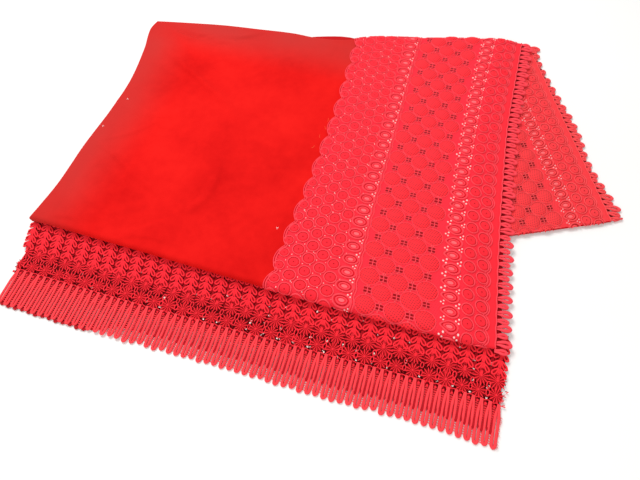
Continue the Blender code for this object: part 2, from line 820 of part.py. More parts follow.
def make_flap_layers(material):
    """Lower layer that turns out at the right, rounded at its fold and hem."""
    loops = []
    for height, inset in FLAP_PROFILE:
        run = FLAP_LENGTH - FLAP_START - 2 * inset
        loop = []
        for step in range(FLAP_STEPS + 1):
            along = FLAP_START + inset + run * step / FLAP_STEPS
            place = flap_point(inset, along, 0.0)
            loop.append(Vector((place.x, place.y, height)))
        for step in range(FLAP_STEPS, -1, -1):
            along = FLAP_START + inset + run * step / FLAP_STEPS
            reach = flap_reach(along) - inset
            slant = FLAP_FOLD_SLANT * reach * step / FLAP_STEPS
            place = FLAP_CORNER + FLAP_ALONG * (along + slant) - FLAP_OUTWARD * reach
            loop.append(Vector((place.x, place.y, height)))
        loops.append(loop)
    return stacked_loops("flap_layers", loops, material)


def border_place(y, x, lift):
    return Vector((x, y, BORDER_BOTTOM + lift))


def make_border_lace(material):
    """Border of leaf chains and flowers, with the gaps between the chains cut through."""
    half_chain = (BORDER_RIGHT - BORDER_LEFT) / (2 * CHAIN_COUNT)
    shape = bmesh.new()
    rows = FLOWER_ROWS + LEAF_ROWS + (BORDER_BACK,)
    outer = {}
    inner = {}
    for i, y in enumerate(rows):
        for step in range(2 * CHAIN_COUNT + 1):
            x = BORDER_LEFT + step * half_chain
            outer[i, step] = shape.verts.new(border_place(y, x, BORDER_WALL))
            inner[i, step] = shape.verts.new(border_place(y, x, 0.0))
    flower_count = len(FLOWER_ROWS)
    for i in range(len(rows) - 1):
        y_low, y_high = rows[i], rows[i + 1]
        middle = (y_low + y_high) / 2
        if i < flower_count:
            for chain in range(CHAIN_COUNT):
                steps = (2 * chain, 2 * chain + 1, 2 * chain + 2)
                keys = [(i, step) for step in steps] + [(i + 1, step) for step in reversed(steps)]
                centre = BORDER_LEFT + (2 * chain + 1) * half_chain
                peak = shape.verts.new(border_place(middle, centre, BORDER_WALL + LEAF_RELIEF))
                for k in range(len(keys)):
                    shape.faces.new((outer[keys[k]], outer[keys[(k + 1) % len(keys)]], peak))
                shape.faces.new([inner[key] for key in keys])
            continue
        if i == len(rows) - 2:
            for side in (outer, inner):
                last = range(2 * CHAIN_COUNT, -1, -1)
                near = [side[i, step] for step in range(2 * CHAIN_COUNT + 1)]
                shape.faces.new(near + [side[i + 1, step] for step in last])
            continue
        for step in range(2 * CHAIN_COUNT):
            keys = [(i, step), (i, step + 1), (i + 1, step + 1), (i + 1, step)]
            centre = BORDER_LEFT + (step + 0.5) * half_chain
            if step % 2 == 0:
                shape.faces.new([outer[key] for key in keys])
                shape.faces.new([inner[key] for key in keys])
                continue
            narrow = half_chain * LEAF_GAP_NARROW
            wide = half_chain * LEAF_GAP_WIDE
            gap_low = middle - LEAF_GAP_HALF_LENGTH
            gap_high = middle + LEAF_GAP_HALF_LENGTH
            gap = ((centre - narrow, gap_low), (centre + narrow, gap_low),
                   (centre + wide, gap_high), (centre - wide, gap_high))
            top = [shape.verts.new(border_place(y, x, BORDER_WALL)) for x, y in gap]
            low = [shape.verts.new(border_place(y, x, 0.0)) for x, y in gap]
            for k in range(4):
                n = (k + 1) % 4
                shape.faces.new((outer[keys[k]], outer[keys[n]], top[n], top[k]))
                shape.faces.new((inner[keys[k]], inner[keys[n]], low[n], low[k]))
                shape.faces.new((top[k], top[n], low[n], low[k]))
    add_rim(shape, {outer[key]: inner[key] for key in outer})
    return add_object("border_lace", shape, material)


def make_under_border(material):
    """Second layer of the border, straight under the first one and flat on the table."""
    shape = bmesh.new()
    bmesh.ops.create_cube(shape, size=1.0)
    left = BORDER_LEFT + UNDER_BORDER_INSET
    right = BORDER_RIGHT - UNDER_BORDER_RIGHT_INSET
    front = FLOWER_ROWS[0] - UNDER_BORDER_INSET
    back = BORDER_BACK
    size = Vector((right - left, back - front, UNDER_BORDER_TOP))
    middle = Vector(((left + right) / 2, (front + back) / 2, UNDER_BORDER_TOP / 2))
    bmesh.ops.scale(shape, vec=size, verts=shape.verts)
    bmesh.ops.translate(shape, vec=middle, verts=shape.verts)
    bmesh.ops.bevel(shape, geom=shape.edges, offset=UNDER_BORDER_BEVEL, segments=1, affect="EDGES")
    return add_object("under_border", shape, material)


def make_loop_fringe(material):
    """Long loops in front of the border, over the second layer's loops on the left."""
    count = CHAIN_COUNT * FRINGE_PER_CHAIN
    pitch = (BORDER_RIGHT - BORDER_LEFT) / count
    front = FLOWER_ROWS[0] - SEAM_GAP
    top = BORDER_BOTTOM + BORDER_WALL
    over_end = UNDER_FRINGE_LEFT + (UNDER_FRINGE_COUNT + 1) * pitch

    def place(x, out):
        return Vector((x, front - out, top))

    roots = []
    for index in range(count):
        start = BORDER_LEFT + (index + 0.5) * pitch - FRINGE_STRAND_WIDTH / 2
        end = read_table(FRINGE_ENDS, start)[0] + FRINGE_WAVE * math.sin(index * FRINGE_WAVE_TURN)
        length = front - STRIP_WIDTH - end
        fall = FRINGE_FALL + FRINGE_LOW_FALL * smooth_step((start - over_end) / FRINGE_LOW_WIDTH)
        roots.append(make_root(place, start, FRINGE_STRAND_WIDTH, length,
                               fall, FRINGE_TAPER))
    return comb("loop_fringe", roots, material)


def make_under_fringe(material):
    """Loops of the second layer, which show below the first ones on the left."""
    pitch = (BORDER_RIGHT - BORDER_LEFT) / (CHAIN_COUNT * FRINGE_PER_CHAIN)
    front = FLOWER_ROWS[0] - UNDER_BORDER_INSET - SEAM_GAP

    def place(x, out):
        return Vector((x, front - out, UNDER_BORDER_TOP))

    roots = []
    for index in range(UNDER_FRINGE_COUNT):
        start = UNDER_FRINGE_LEFT + index * pitch
        length = UNDER_FRINGE_LENGTH - UNDER_FRINGE_SHORTENING * index / UNDER_FRINGE_COUNT
        roots.append(make_root(place, start, FRINGE_STRAND_WIDTH, length,
                               UNDER_FRINGE_FALL, FRINGE_TAPER))
    return comb("under_fringe", roots, material)


def trim_length(index):
    return TRIM_LONG if index % 2 == 0 else TRIM_SHORT


def make_trim_top(material):
    """Short loops along the top layer's hem."""
    back = back_fold(cross_x(HEM_COLUMN, 1.0))
    start_row = FRONT_FOLD + TRIM_END_MARGIN
    last_row = back - TRIM_END_MARGIN
    count = int((back - TRIM_LAST_MARGIN - start_row) / TRIM_PITCH)

    def place(row, out):
        edge = top_point(HEM_COLUMN, clamp(row, start_row, last_row), -TRIM_BELOW_FACE)
        return edge + Vector((SEAM_GAP + out, row - edge.y, 0.0))

    roots = []
    for index in range(count):
        start = start_row + index * TRIM_PITCH
        roots.append(make_root(place, start, TRIM_STRAND_WIDTH, trim_length(index),
                               TRIM_FALL, TRIM_TAPER))
    return comb("trim_top", roots, material)


def make_flap_trim(material):
    """Short loops along the turned-out layer's hem."""
    count = int((FLAP_LENGTH - FLAP_TRIM_START) / TRIM_PITCH)

    def place(along, out):
        spot = FLAP_CORNER + FLAP_ALONG * along + FLAP_OUTWARD * (SEAM_GAP + out)
        return Vector((spot.x, spot.y, FLAP_TOP - FLAP_TRIM_BELOW_FACE))

    roots = []
    for index in range(count):
        start = FLAP_TRIM_START + index * TRIM_PITCH
        roots.append(make_root(place, start, TRIM_STRAND_WIDTH, trim_length(index),
                               FLAP_TRIM_FALL, TRIM_TAPER))
    return comb("flap_trim", roots, material)


def main():
    for leftover in list(bpy.data.objects):
        bpy.data.objects.remove(leftover)
    velvet = make_material("velvet", COLOURS["velvet"], 0.75, 0.6)
    velvet_lower = make_material("velvet_lower", COLOURS["velvet_lower"], 0.80, 0.5)
    lace = make_material("lace", COLOURS["lace"], 0.55, 0.2)
    lace_lower = make_material("lace_lower", COLOURS["lace_lower"], 0.60, 0.2)
    fringe = make_material("fringe", COLOURS["fringe"], 0.55, 0.2)
    make_velvet_top(velvet)
    make_lace_top(lace)
    make_trim_top(lace)
    make_folded_layers(velvet_lower)
    make_flap_layers(velvet_lower)
    make_flap_lace(lace_lower)
    make_flap_trim(lace_lower)
    make_border_lace(fringe)
    make_loop_fringe(fringe)
    make_under_border(lace_lower)
    make_under_fringe(lace_lower)


main()
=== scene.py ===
"""Looks of the folded velvet shawl: velvet, guipure lace, leaf border and looped fringe.

Flat places are (across, along, lift) in metres. Each piece is laid out flat and
then placed on the form of its layer: "across" is the column of the top layer, read
on its middle row, "along" runs from the front fold to the back, and "lift" is the
height above the velvet's face.
"""

import math

import bpy
import numpy as np
from mathutils import Matrix, Vector


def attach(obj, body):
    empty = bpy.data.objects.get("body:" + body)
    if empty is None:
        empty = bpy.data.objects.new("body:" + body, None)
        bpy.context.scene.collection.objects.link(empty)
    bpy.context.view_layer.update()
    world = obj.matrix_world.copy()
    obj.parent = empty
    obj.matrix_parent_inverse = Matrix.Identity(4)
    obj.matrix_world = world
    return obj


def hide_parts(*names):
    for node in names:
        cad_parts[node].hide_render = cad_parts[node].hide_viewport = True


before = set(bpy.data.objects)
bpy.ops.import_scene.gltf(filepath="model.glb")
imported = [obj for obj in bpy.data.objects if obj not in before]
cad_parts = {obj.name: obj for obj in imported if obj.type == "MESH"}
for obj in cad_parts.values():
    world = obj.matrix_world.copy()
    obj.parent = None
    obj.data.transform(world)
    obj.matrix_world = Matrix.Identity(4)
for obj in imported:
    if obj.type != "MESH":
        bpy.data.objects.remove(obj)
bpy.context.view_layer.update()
RANDOM = np.random.default_rng(11)

# Middle of the shawl's outline, which every piece is moved to
OUTLINE_MIDDLE = np.array((0.0, 0.0023, 0.0))

# Camera: lens in pixels, place and turn, worked out from the lace and fringe pitch
PHOTO_WIDTH = 640
LENS_PIXELS = 500.0
SENSOR_WIDTH = 36.0
CAMERA_PLACE = (0.101, -0.336, 0.4929)
CAMERA_TURN = math.radians(21.2)
CAMERA_ELEVATION = math.radians(62.277)
CAMERA_ROLL = math.radians(4.749)

# Heights of the folded stack
STACK_TOP = 0.0150
TUCK_OVER_BORDER = 0.0040
TUCK_OVER_LAYERS = 0.0063
TUCK_RISE_WIDTH = 0.016
HEM_SLOPE_WIDTH = 0.036
FRONT_FOLD = -0.1675
TUCK_LENGTH = 0.0050
FOLD_RADIUS = 0.0048
MIN_FOLD_RADIUS = 0.0018

# First row of the lace pattern, which starts on the front fold
FIRST_ROW = FRONT_FOLD + FOLD_RADIUS

# Height of the top layer's face at its hem, from front to back: y, height
HEM_TOPS = (
    (-0.168, 0.0088),
    (-0.130, 0.0074),
    (-0.080, 0.0068),
    (-0.040, 0.0088),
    (0.020, 0.0092),
    (0.264, 0.0094),
)

# Share of the way back, then x of the left fold, scallop edge, left ovals,
# right ovals and hem
CROSS_LINES = (
    (0.00, -0.3186, -0.0345, 0.051, 0.1635, 0.2085),
    (0.15, -0.312, -0.0325, 0.047, 0.1540, 0.2020),
    (0.32, -0.310, -0.0295, 0.045, 0.147, 0.194),
    (0.50, -0.305, -0.0290, 0.045, 0.142, 0.188),
    (0.66, -0.304, -0.0300, 0.044, 0.140, 0.184),
    (0.83, -0.313, -0.0330, 0.042, 0.140, 0.184),
    (0.94, -0.3222, -0.0358, 0.0413, 0.1413, 0.184),
    (1.00, -0.3185, -0.0370, 0.041, 0.142, 0.184),
)
MIDDLE_COLUMNS = np.array((-0.305, -0.030, 0.045, 0.142, 0.188))
LEFT_COLUMN = MIDDLE_COLUMNS[0]
HEM_COLUMN = MIDDLE_COLUMNS[-1]

# Back fold of the top layer, and of the layers beneath it: x, top layer y, lower y
BACK_FOLDS = (
    (-0.320, 0.175, 0.172),
    (-0.238, 0.188, 0.185),
    (-0.170, 0.196, 0.194),
    (-0.117, 0.200, 0.2035),
    (-0.082, 0.199, 0.2160),
    (-0.048, 0.204, 0.2240),
    (-0.010, 0.2195, 0.2215),
    (0.050, 0.2332, 0.229),
    (0.101, 0.2448, 0.241),
    (0.146, 0.2550, 0.251),
    (0.184, 0.2637, 0.260),
)

# How far the front fold lies behind its line: x, shift; and how far back the shift reaches
FRONT_SWAY = (
    (-0.320, 0.0042),
    (-0.220, 0.0026),
    (-0.120, 0.0010),
    (-0.060, 0.0),
    (0.210, 0.0),
)
FRONT_SWAY_REACH = 0.090

# Soft ridges and dips of the velvet: points in plan, half width, height
CREASES = (
    (((-0.292, 0.132), (-0.264, 0.112), (-0.214, 0.083), (-0.173, 0.059), (-0.136, 0.030)),
     0.0062, 0.0029),
    (((-0.300, 0.118), (-0.268, 0.096), (-0.222, 0.068), (-0.180, 0.046)), 0.0085, -0.0013),
    (((-0.292, -0.046), (-0.262, -0.060), (-0.217, -0.083), (-0.187, -0.097)), 0.0060, 0.0023),
    (((-0.290, -0.062), (-0.262, -0.076), (-0.222, -0.096)), 0.0080, -0.0011),
    (((-0.170, -0.098), (-0.144, -0.110), (-0.128, -0.081), (-0.129, -0.056), (-0.136, -0.028)),
     0.0058, 0.0021),
    (((-0.160, -0.088), (-0.145, -0.094), (-0.138, -0.074), (-0.140, -0.050)), 0.0070, -0.0012),
    (((-0.206, -0.164), (-0.196, -0.156), (-0.172, -0.151), (-0.140, -0.151)), 0.0046, 0.0021),
    (((-0.204, -0.150), (-0.188, -0.141), (-0.174, -0.127), (-0.160, -0.118)), 0.0070, -0.0014),
    (((-0.296, -0.158), (-0.262, -0.153), (-0.230, -0.145)), 0.0060, 0.0016),
    (((-0.291, 0.166), (-0.268, 0.158), (-0.246, 0.156), (-0.226, 0.164)), 0.0034, -0.0019),
    (((-0.285, 0.160), (-0.262, 0.151), (-0.240, 0.150)), 0.0040, 0.0013),
    (((-0.258, 0.157), (-0.236, 0.154), (-0.216, 0.149), (-0.196, 0.153)), 0.0032, -0.0018),
    (((-0.246, 0.163), (-0.222, 0.160), (-0.204, 0.157)), 0.0034, 0.0015),
    (((-0.221, 0.160), (-0.194, 0.163), (-0.172, 0.171), (-0.158, 0.172)), 0.0034, -0.0018),
    (((-0.206, 0.170), (-0.188, 0.172), (-0.170, 0.181), (-0.158, 0.190)), 0.0036, 0.0014),
    (((-0.156, 0.163), (-0.120, 0.157), (-0.070, 0.156)), 0.0180, -0.0019),
    (((-0.286, -0.040), (-0.267, -0.028), (-0.250, -0.015), (-0.240, -0.004)), 0.0046, 0.0012),
    (((-0.300, 0.020), (-0.270, 0.010), (-0.235, 0.012), (-0.205, 0.024)), 0.0090, 0.0013),
    (((-0.150, -0.010), (-0.110, 0.030), (-0.085, 0.080)), 0.0160, 0.0011),
    (((-0.215, -0.020), (-0.190, 0.010), (-0.180, 0.040)), 0.0130, -0.0011),
    (((-0.090, -0.130), (-0.070, -0.100), (-0.060, -0.060)), 0.0120, 0.0011),
    (((-0.291, -0.120), (-0.290, -0.085), (-0.292, -0.050)), 0.0080, -0.0010),
    (((0.128, 0.203), (0.147, 0.200), (0.183, 0.196)), 0.0040, 0.0024),
    (((0.140, 0.193), (0.160, 0.190), (0.183, 0.187)), 0.0036, -0.0012),
)

# Loops along the hems: pitch, reach, how much shorter every second one is, and the width of the dark strip
# behind the roots, the layer beneath in painted shade
TRIM_PITCH = 0.0079
TRIM_REACH = 0.0152
TRIM_DIFFERENCE = 0.0032
TRIM_SHADE_WIDTH = 0.0046


# Uneven profile of a crease: waves along it, how much its width changes and leans to one side,
# and how softly its ends fade
CREASE_WAVES = 9.0
CREASE_WIDTH = (0.85, 0.25)
CREASE_LEAN = 0.35
CREASE_FADE = 0.6

# Gentle waves of the velvet: height, and turns along x and y, phase and size of each
UNEVEN_HEIGHT = 0.00018
UNEVEN_WAVES = (
    (31.0, 17.0, 0.0, 1.0),
    (-39.0, 23.0, 1.3, 1.0),
    (71.0, 53.0, 0.7, 0.6),
)


# Curves and tables

def smooth_step(values):
    share = np.clip(values, 0.0, 1.0)
    return share * share * (3.0 - 2.0 * share)


def read_table(table, keys):
    """Columns of a table at keys in its first column, on a smooth curve through the rows."""
    rows = np.array(table, float)
    last = len(rows) - 1
    keys = np.clip(np.asarray(keys, float), rows[0, 0], rows[last, 0])
    index = np.clip(np.searchsorted(rows[:, 0], keys) - 1, 0, last - 1)
    before, start = rows[np.maximum(index - 1, 0)], rows[index]
    end, after = rows[index + 1], rows[np.minimum(index + 2, last)]
    span = (end[..., 0] - start[..., 0])[..., None]
    share = ((keys - start[..., 0])[..., None]) / span
    slope_start = (end[..., 1:] - before[..., 1:]) / (end[..., :1] - before[..., :1]) * span
    slope_end = (after[..., 1:] - start[..., 1:]) / (after[..., :1] - start[..., :1]) * span
    values = (
        start[..., 1:] * (2 * share ** 3 - 3 * share ** 2 + 1)
        + slope_start * (share ** 3 - 2 * share ** 2 + share)
        + end[..., 1:] * (3 * share ** 2 - 2 * share ** 3)
        + slope_end * (share ** 3 - share ** 2)
    )
    return np.moveaxis(values, -1, 0)


# Form of the top layer

def back_fold(x):
    return read_table(BACK_FOLDS, x)[0]


def share_back(column, row):
    return np.clip((row - FRONT_FOLD) / (back_fold(column) - FRONT_FOLD), 0.0, 1.0)


def cross_x(column, share):
    """Plan x of a column, which leans with the folds and the hem."""
    places = read_table(CROSS_LINES, share)
    column = np.broadcast_to(column, places[0].shape)
    index = np.clip(np.searchsorted(MIDDLE_COLUMNS, column) - 1, 0, len(MIDDLE_COLUMNS) - 2)
    start, end = MIDDLE_COLUMNS[index], MIDDLE_COLUMNS[index + 1]
    low = np.take_along_axis(places, index[None], 0)[0]
    high = np.take_along_axis(places, index[None] + 1, 0)[0]
    return low + (column - start) / (end - start) * (high - low)


def crease_height(x, y):
    """Height of the creases: each is a line of points with an uneven, one-sided profile."""
    total = np.zeros_like(x)
    for number, (points, half_width, height) in enumerate(CREASES):
        best = np.full_like(x, 1.0)
        side = np.zeros_like(x)
        reach = np.zeros_like(x)
        lengths = [math.dist(a, b) for a, b in zip(points, points[1:])]
        gone = 0.0
        for (start, end), length in zip(zip(points, points[1:]), lengths):
            run_x, run_y = (end[0] - start[0]) / length, (end[1] - start[1]) / length
            off_x, off_y = x - start[0], y - start[1]
            along = np.clip(off_x * run_x + off_y * run_y, 0.0, length)
            away = np.hypot(off_x - run_x * along, off_y - run_y * along)
            nearer = away < best
            best = np.where(nearer, away, best)
            side = np.where(nearer, np.sign(run_x * off_y - run_y * off_x), side)
            reach = np.where(nearer, (gone + along) / sum(lengths), reach)
            gone += length
        width, change = CREASE_WIDTH
        width = half_width * (width + change * np.sin(CREASE_WAVES * reach + number))
        width = width * (1.0 + CREASE_LEAN * side)
        fade = np.sin(np.pi * (0.9 * reach + 0.05)) ** CREASE_FADE
        total += height * fade * np.exp(-(best / width) ** 2)
    return total


def velvet_unevenness(x, y):
    return UNEVEN_HEIGHT * sum(
        size * np.sin(turn_x * x + turn_y * y + phase) for turn_x, turn_y, phase, size in UNEVEN_WAVES)


def top_height(column, x, y):
    """Height of the velvet's face away from the folds; it slopes down to the hem."""
    hem_top = read_table(HEM_TOPS, y)[0]
    inside = smooth_step((HEM_COLUMN - column) / HEM_SLOPE_WIDTH)
    full = STACK_TOP + crease_height(x, y) + velvet_unevenness(x, y)
    return hem_top + inside * (full - hem_top)


def tuck_height(y):
    over_layers = smooth_step((y - FRONT_FOLD) / TUCK_RISE_WIDTH)
    return TUCK_OVER_BORDER + over_layers * (TUCK_OVER_LAYERS - TUCK_OVER_BORDER)


def round_fold(distance, turn, half, lift):
    """Angle round a fold and the distance inside its line; distance goes on past the edge."""
    angle = np.clip(np.pi / 2 - (turn - distance) / turn, -np.pi / 2, np.pi / 2)
    under = np.maximum(-np.pi / 2 - (np.pi / 2 - (turn - distance) / turn), 0.0) * turn
    inset = np.where(distance >= turn, distance, turn - (half + lift) * np.cos(angle) + under)
    return angle, inset


def top_place(column, row, lift):
    """Places on the top layer, lift metres out of the velvet's face."""
    column, row, lift = np.broadcast_arrays(
        np.asarray(column, float), np.asarray(row, float), np.asarray(lift, float))
    share = share_back(column, row)
    x = cross_x(column, share)
    left = cross_x(np.full_like(x, LEFT_COLUMN), share)
    back = back_fold(x)
    y_inside = np.clip(row, FRONT_FOLD, back)
    face = top_height(column, np.maximum(x, left), y_inside)
    half = np.maximum((face - tuck_height(y_inside)) / 2, MIN_FOLD_RADIUS)
    left_angle, left_inset = round_fold(column - LEFT_COLUMN, FOLD_RADIUS, half, lift)
    front_angle, front_inset = round_fold(row - FRONT_FOLD, FOLD_RADIUS, half, lift)
    back_angle, back_inset = round_fold(back - row, FOLD_RADIUS, half, lift)
    x = np.where(left_angle < np.pi / 2, left + left_inset, x)
    y = np.where(front_angle < np.pi / 2, FRONT_FOLD + front_inset, row)
    y = np.where(back_angle < np.pi / 2, back - back_inset, y)
    y = y + read_table(FRONT_SWAY, x)[0] * smooth_step(1.0 - (row - FRONT_FOLD) / FRONT_SWAY_REACH)
    angle = np.minimum(np.minimum(left_angle, front_angle), back_angle)
    z = face - half + (half + lift) * np.sin(angle)
    return np.stack((x, y, z), -1) - OUTLINE_MIDDLE


def flat_place(across, along, lift):
    """Places on no layer's form, only moved to the outline's middle."""
    return np.stack((across, along, lift), -1) - OUTLINE_MIDDLE


# Form of the lower layer that turns out to the right

FLAP_CORNER = np.array((0.1930, 0.2665))
FLAP_ALONG = np.array((0.4200, -0.9075))
FLAP_OUTWARD = np.array((0.9075, 0.4200))
FLAP_LENGTH = 0.2785
FLAP_START = 0.006
FLAP_TOP = 0.0036
FLAP_WIDTH = 0.169

# The lace lies a little gathered on it: where its first row falls, and how much its rows and
# columns draw together
FLAP_FIRST_ROW = 0.2693
FLAP_ROW_SHARE = 0.951
FLAP_COLUMN_SHARE = 0.89


def flap_along(row):
    """Distance of a row of the lace pattern from the turned-out layer's back corner."""
    return FLAP_FIRST_ROW - FLAP_ROW_SHARE * (row - FIRST_ROW)


def flap_row(along):
    """Row of the lace pattern at a distance along the turned-out layer."""
    return FIRST_ROW + (FLAP_FIRST_ROW - along) / FLAP_ROW_SHARE


def flap_place(column, row, lift):
    """Places on the turned-out layer: its rows run from the fold at the front to the back."""
    column, row, lift = np.broadcast_arrays(
        np.asarray(column, float), np.asarray(row, float), np.asarray(lift, float))
    inside = HEM_COLUMN - column
    inside = np.where(inside > 0.0, FLAP_COLUMN_SHARE * inside, inside)
    half = FLAP_TOP / 2
    along = flap_along(row)
    angle, inset = round_fold(FLAP_LENGTH - along, half, half, lift)
    along = np.where(angle < np.pi / 2, FLAP_LENGTH - inset, along)
    plan = FLAP_CORNER + along[..., None] * FLAP_ALONG - inside[..., None] * FLAP_OUTWARD
    z = half + (half + lift) * np.sin(angle)
    return np.stack((plan[..., 0], plan[..., 1], z), -1) - OUTLINE_MIDDLE


def hem_x(y):
    """Plan x of the top layer's hem, after the move to the outline's middle."""
    y = y + OUTLINE_MIDDLE[1]
    share = share_back(np.full_like(y, HEM_COLUMN), y)
    return cross_x(np.full_like(y, HEM_COLUMN), share) - OUTLINE_MIDDLE[0]


# Flat building: a motif is a list of parts, each (points, faces, slot, uv)

# Of these slots, the groove and shade colours are painted shade, and the pale and film colours carry
# painted highlights; the others are the threads' and cloth's own colours
CORD, WEB, GROOVE_SHADE, PAINTED_GLINT, FILM_HIGHLIGHT, DISC, SATIN, SHADE, CLOTH = (
    "cord", "web", "groove", "pale", "film", "disc", "satin", "shade", "cloth")

# Lifts above the velvet's face: the lace's ground, and the middle of the cords on it
WEB_LIFT = 0.0008
CORD_LIFT = 0.0014

# How far the section of a half-sunk cord runs down past its sides, in radians
CORD_SKIRT = 0.35
TINY = 1e-12


def smooth_path(points, steps, closed=False):
    """Even steps on a smooth curve through a few points."""
    points = np.array(points, float)
    count = len(points)
    spans = count if closed else count - 1
    result = []
    for i in range(spans):
        take = [points[(i + k) % count] if closed else points[min(max(i + k, 0), count - 1)]
                for k in (-1, 0, 1, 2)]
        for step in range(steps):
            t = step / steps
            result.append(0.5 * (
                2 * take[1] + (take[2] - take[0]) * t
                + (2 * take[0] - 5 * take[1] + 4 * take[2] - take[3]) * t * t
                + (3 * take[1] - take[0] - 3 * take[2] + take[3]) * t ** 3))
    if not closed:
        result.append(points[-1])
    return np.array(result)


def tube(path, radius, lift, closed=False, sides=5, whole=False, flat=0.85, slot=CORD):
    """Cord along a flat path; radius and lift may change along it."""
    path = np.array(path, float)
    count = len(path)
    if closed:
        ahead, behind = np.roll(path, -1, 0), np.roll(path, 1, 0)
    else:
        ahead, behind = np.vstack((path[1:], path[-1:])), np.vstack((path[:1], path[:-1]))
    run = ahead - behind
    run /= np.linalg.norm(run, axis=1)[:, None] + TINY
    normal = np.stack((-run[:, 1], run[:, 0]), 1)
    radius = np.broadcast_to(radius, (count,))
    lift = np.broadcast_to(lift, (count,))
    if whole:
        turns = np.linspace(0.0, 2 * np.pi, sides, endpoint=False)
    else:
        turns = np.linspace(-CORD_SKIRT, np.pi + CORD_SKIRT, sides)
    ring = len(turns)
    points = np.zeros((count, ring, 3))
    points[..., :2] = path[:, None] + normal[:, None] * (radius[:, None] * np.cos(turns))[..., None]
    points[..., 2] = lift[:, None] + flat * radius[:, None] * np.sin(turns)
    lengths = np.concatenate(([0.0], np.cumsum(np.linalg.norm(np.diff(path, axis=0), axis=1))))
    uv = np.zeros((count, ring, 2))
    uv[..., 0] = lengths[:, None]
    uv[..., 1] = radius[:, None] * turns
    spans = count if closed else count - 1
    strips = ring if whole else ring - 1
    i, j = np.meshgrid(np.arange(spans), np.arange(strips), indexing="ij")
    i, j = i.ravel(), j.ravel()
    far, over = (i + 1) % count, (j + 1) % ring
    faces = np.stack((i * ring + j, i * ring + over, far * ring + over, far * ring + j), 1)
    return points.reshape(-1, 3), faces, slot, uv.reshape(-1, 2)


def turned(profile, segments, slot, stretch=1.0, lift=WEB_LIFT):
    """Surface turned round its middle: profile gives (radius, rise over the lift) outwards."""
    profile = np.array(profile, float)
    angles = np.linspace(0.0, 2 * np.pi, segments, endpoint=False)
    points = np.zeros((len(profile), segments, 3))
    points[..., 0] = profile[:, :1] * np.cos(angles) * stretch
    points[..., 1] = profile[:, :1] * np.sin(angles)
    points[..., 2] = profile[:, 1:] + lift
    k, i = np.meshgrid(np.arange(len(profile) - 1), np.arange(segments), indexing="ij")
    k, i = k.ravel(), i.ravel()
    next_i = (i + 1) % segments
    faces = np.stack((k * segments + i, (k + 1) * segments + i,
                      (k + 1) * segments + next_i, k * segments + next_i), 1)
    points = points.reshape(-1, 3)
    return points, faces, slot, points[:, :2].copy()


def moved(part, across, along, angle=0.0, size=1.0):
    """A motif's part turned, sized and moved to its place."""
    points, faces, slot, uv = part
    turn = np.array(((math.cos(angle), -math.sin(angle)), (math.sin(angle), math.cos(angle))))
    points = points.copy()
    points[:, :2] = points[:, :2] @ turn.T * size + (across, along)
    return points, faces, slot, uv


class Gather:
    """Parts laid out flat, which become one mesh on a layer's form."""

    def __init__(self):
        self.parts = []

    def add(self, *parts):
        self.parts.extend(parts)

    def repeat(self, motif, places, jitter=0.0, sizes=0.0):
        """Copies of a motif at (across, along) places, a little uneven as handwork is."""
        places = np.array(places, float).reshape(-1, 2)
        if not len(places):
            return
        places = places + RANDOM.normal(0.0, 1.0, places.shape) * jitter
        size = 1.0 + RANDOM.normal(0.0, 1.0, len(places)) * sizes
        for points, faces, slot, uv in motif:
            count = len(points)
            many = np.repeat(points[None], len(places), 0)
            many[..., :2] = many[..., :2] * size[:, None, None] + places[:, None]
            shift = np.arange(len(places))[:, None, None] * count
            self.parts.append((many.reshape(-1, 3), (faces[None] + shift).reshape(-1, faces.shape[1]),
                               slot, np.tile(uv, (len(places), 1))))

    def build(self, name, place, materials, slot_name, inside=None):
        """One object of all parts, placed on a form and cut to the points inside."""
        points = np.concatenate([part[0] for part in self.parts])
        uvs = np.concatenate([part[3] for part in self.parts])
        placed = place(points[:, 0], points[:, 1], points[:, 2])
        keep = np.ones(len(points), bool) if inside is None else inside(points, placed)
        kinds = sorted({part[2] for part in self.parts})
        corners, totals, slots = [], [], []
        start = 0
        for part_points, faces, slot, uv in self.parts:
            faces = faces + start
            faces = faces[keep[faces].all(1)]
            corners.append(faces.ravel())
            totals.append(np.full(len(faces), faces.shape[1]))
            slots.append(np.full(len(faces), kinds.index(slot)))
            start += len(part_points)
        corners, totals = np.concatenate(corners), np.concatenate(totals)
        used, corners = np.unique(corners, return_inverse=True)
        mesh = bpy.data.meshes.new(name)
        mesh.vertices.add(len(used))
        mesh.vertices.foreach_set("co", placed[used].astype(np.float32).ravel())
        mesh.loops.add(len(corners))
        mesh.loops.foreach_set("vertex_index", corners.astype(np.int32).ravel())
        mesh.polygons.add(len(totals))
        starts = np.concatenate(([0], np.cumsum(totals)[:-1]))
        mesh.polygons.foreach_set("loop_start", starts.astype(np.int32))
        mesh.polygons.foreach_set("material_index", np.concatenate(slots).astype(np.int32))
        layer = mesh.uv_layers.new(name="flat")
        layer.data.foreach_set("uv", uvs[used][corners.ravel()].astype(np.float32).ravel())
        mesh.update(calc_edges=True)
        mesh.validate()
        mesh.shade_smooth()
        for kind in kinds:
            mesh.materials.append(materials[kind])
        piece = bpy.data.objects.new(name, mesh)
        bpy.context.scene.collection.objects.link(piece)
        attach(piece, "root")
        return piece


def grid_part(across, along, lift, slot=CLOTH):
    """Sheet through rows of flat points: arrays shaped (columns, rows)."""
    across, along, lift = np.broadcast_arrays(across, along, lift)
    columns, rows = across.shape
    points = np.stack((across, along, lift), -1).reshape(-1, 3)
    i, j = np.meshgrid(np.arange(columns - 1), np.arange(rows - 1), indexing="ij")
    i, j = i.ravel(), j.ravel()
    faces = np.stack((i * rows + j, (i + 1) * rows + j, (i + 1) * rows + j + 1, i * rows + j + 1), 1)
    return points, faces, slot, points[:, :2].copy()


# Materials

THREAD_SHEEN = (1.0, 0.30, 0.34, 1.0)
VELVET_SHEEN = (1.0, 0.16, 0.13, 1.0)
THREAD_GLOSS = 0.12


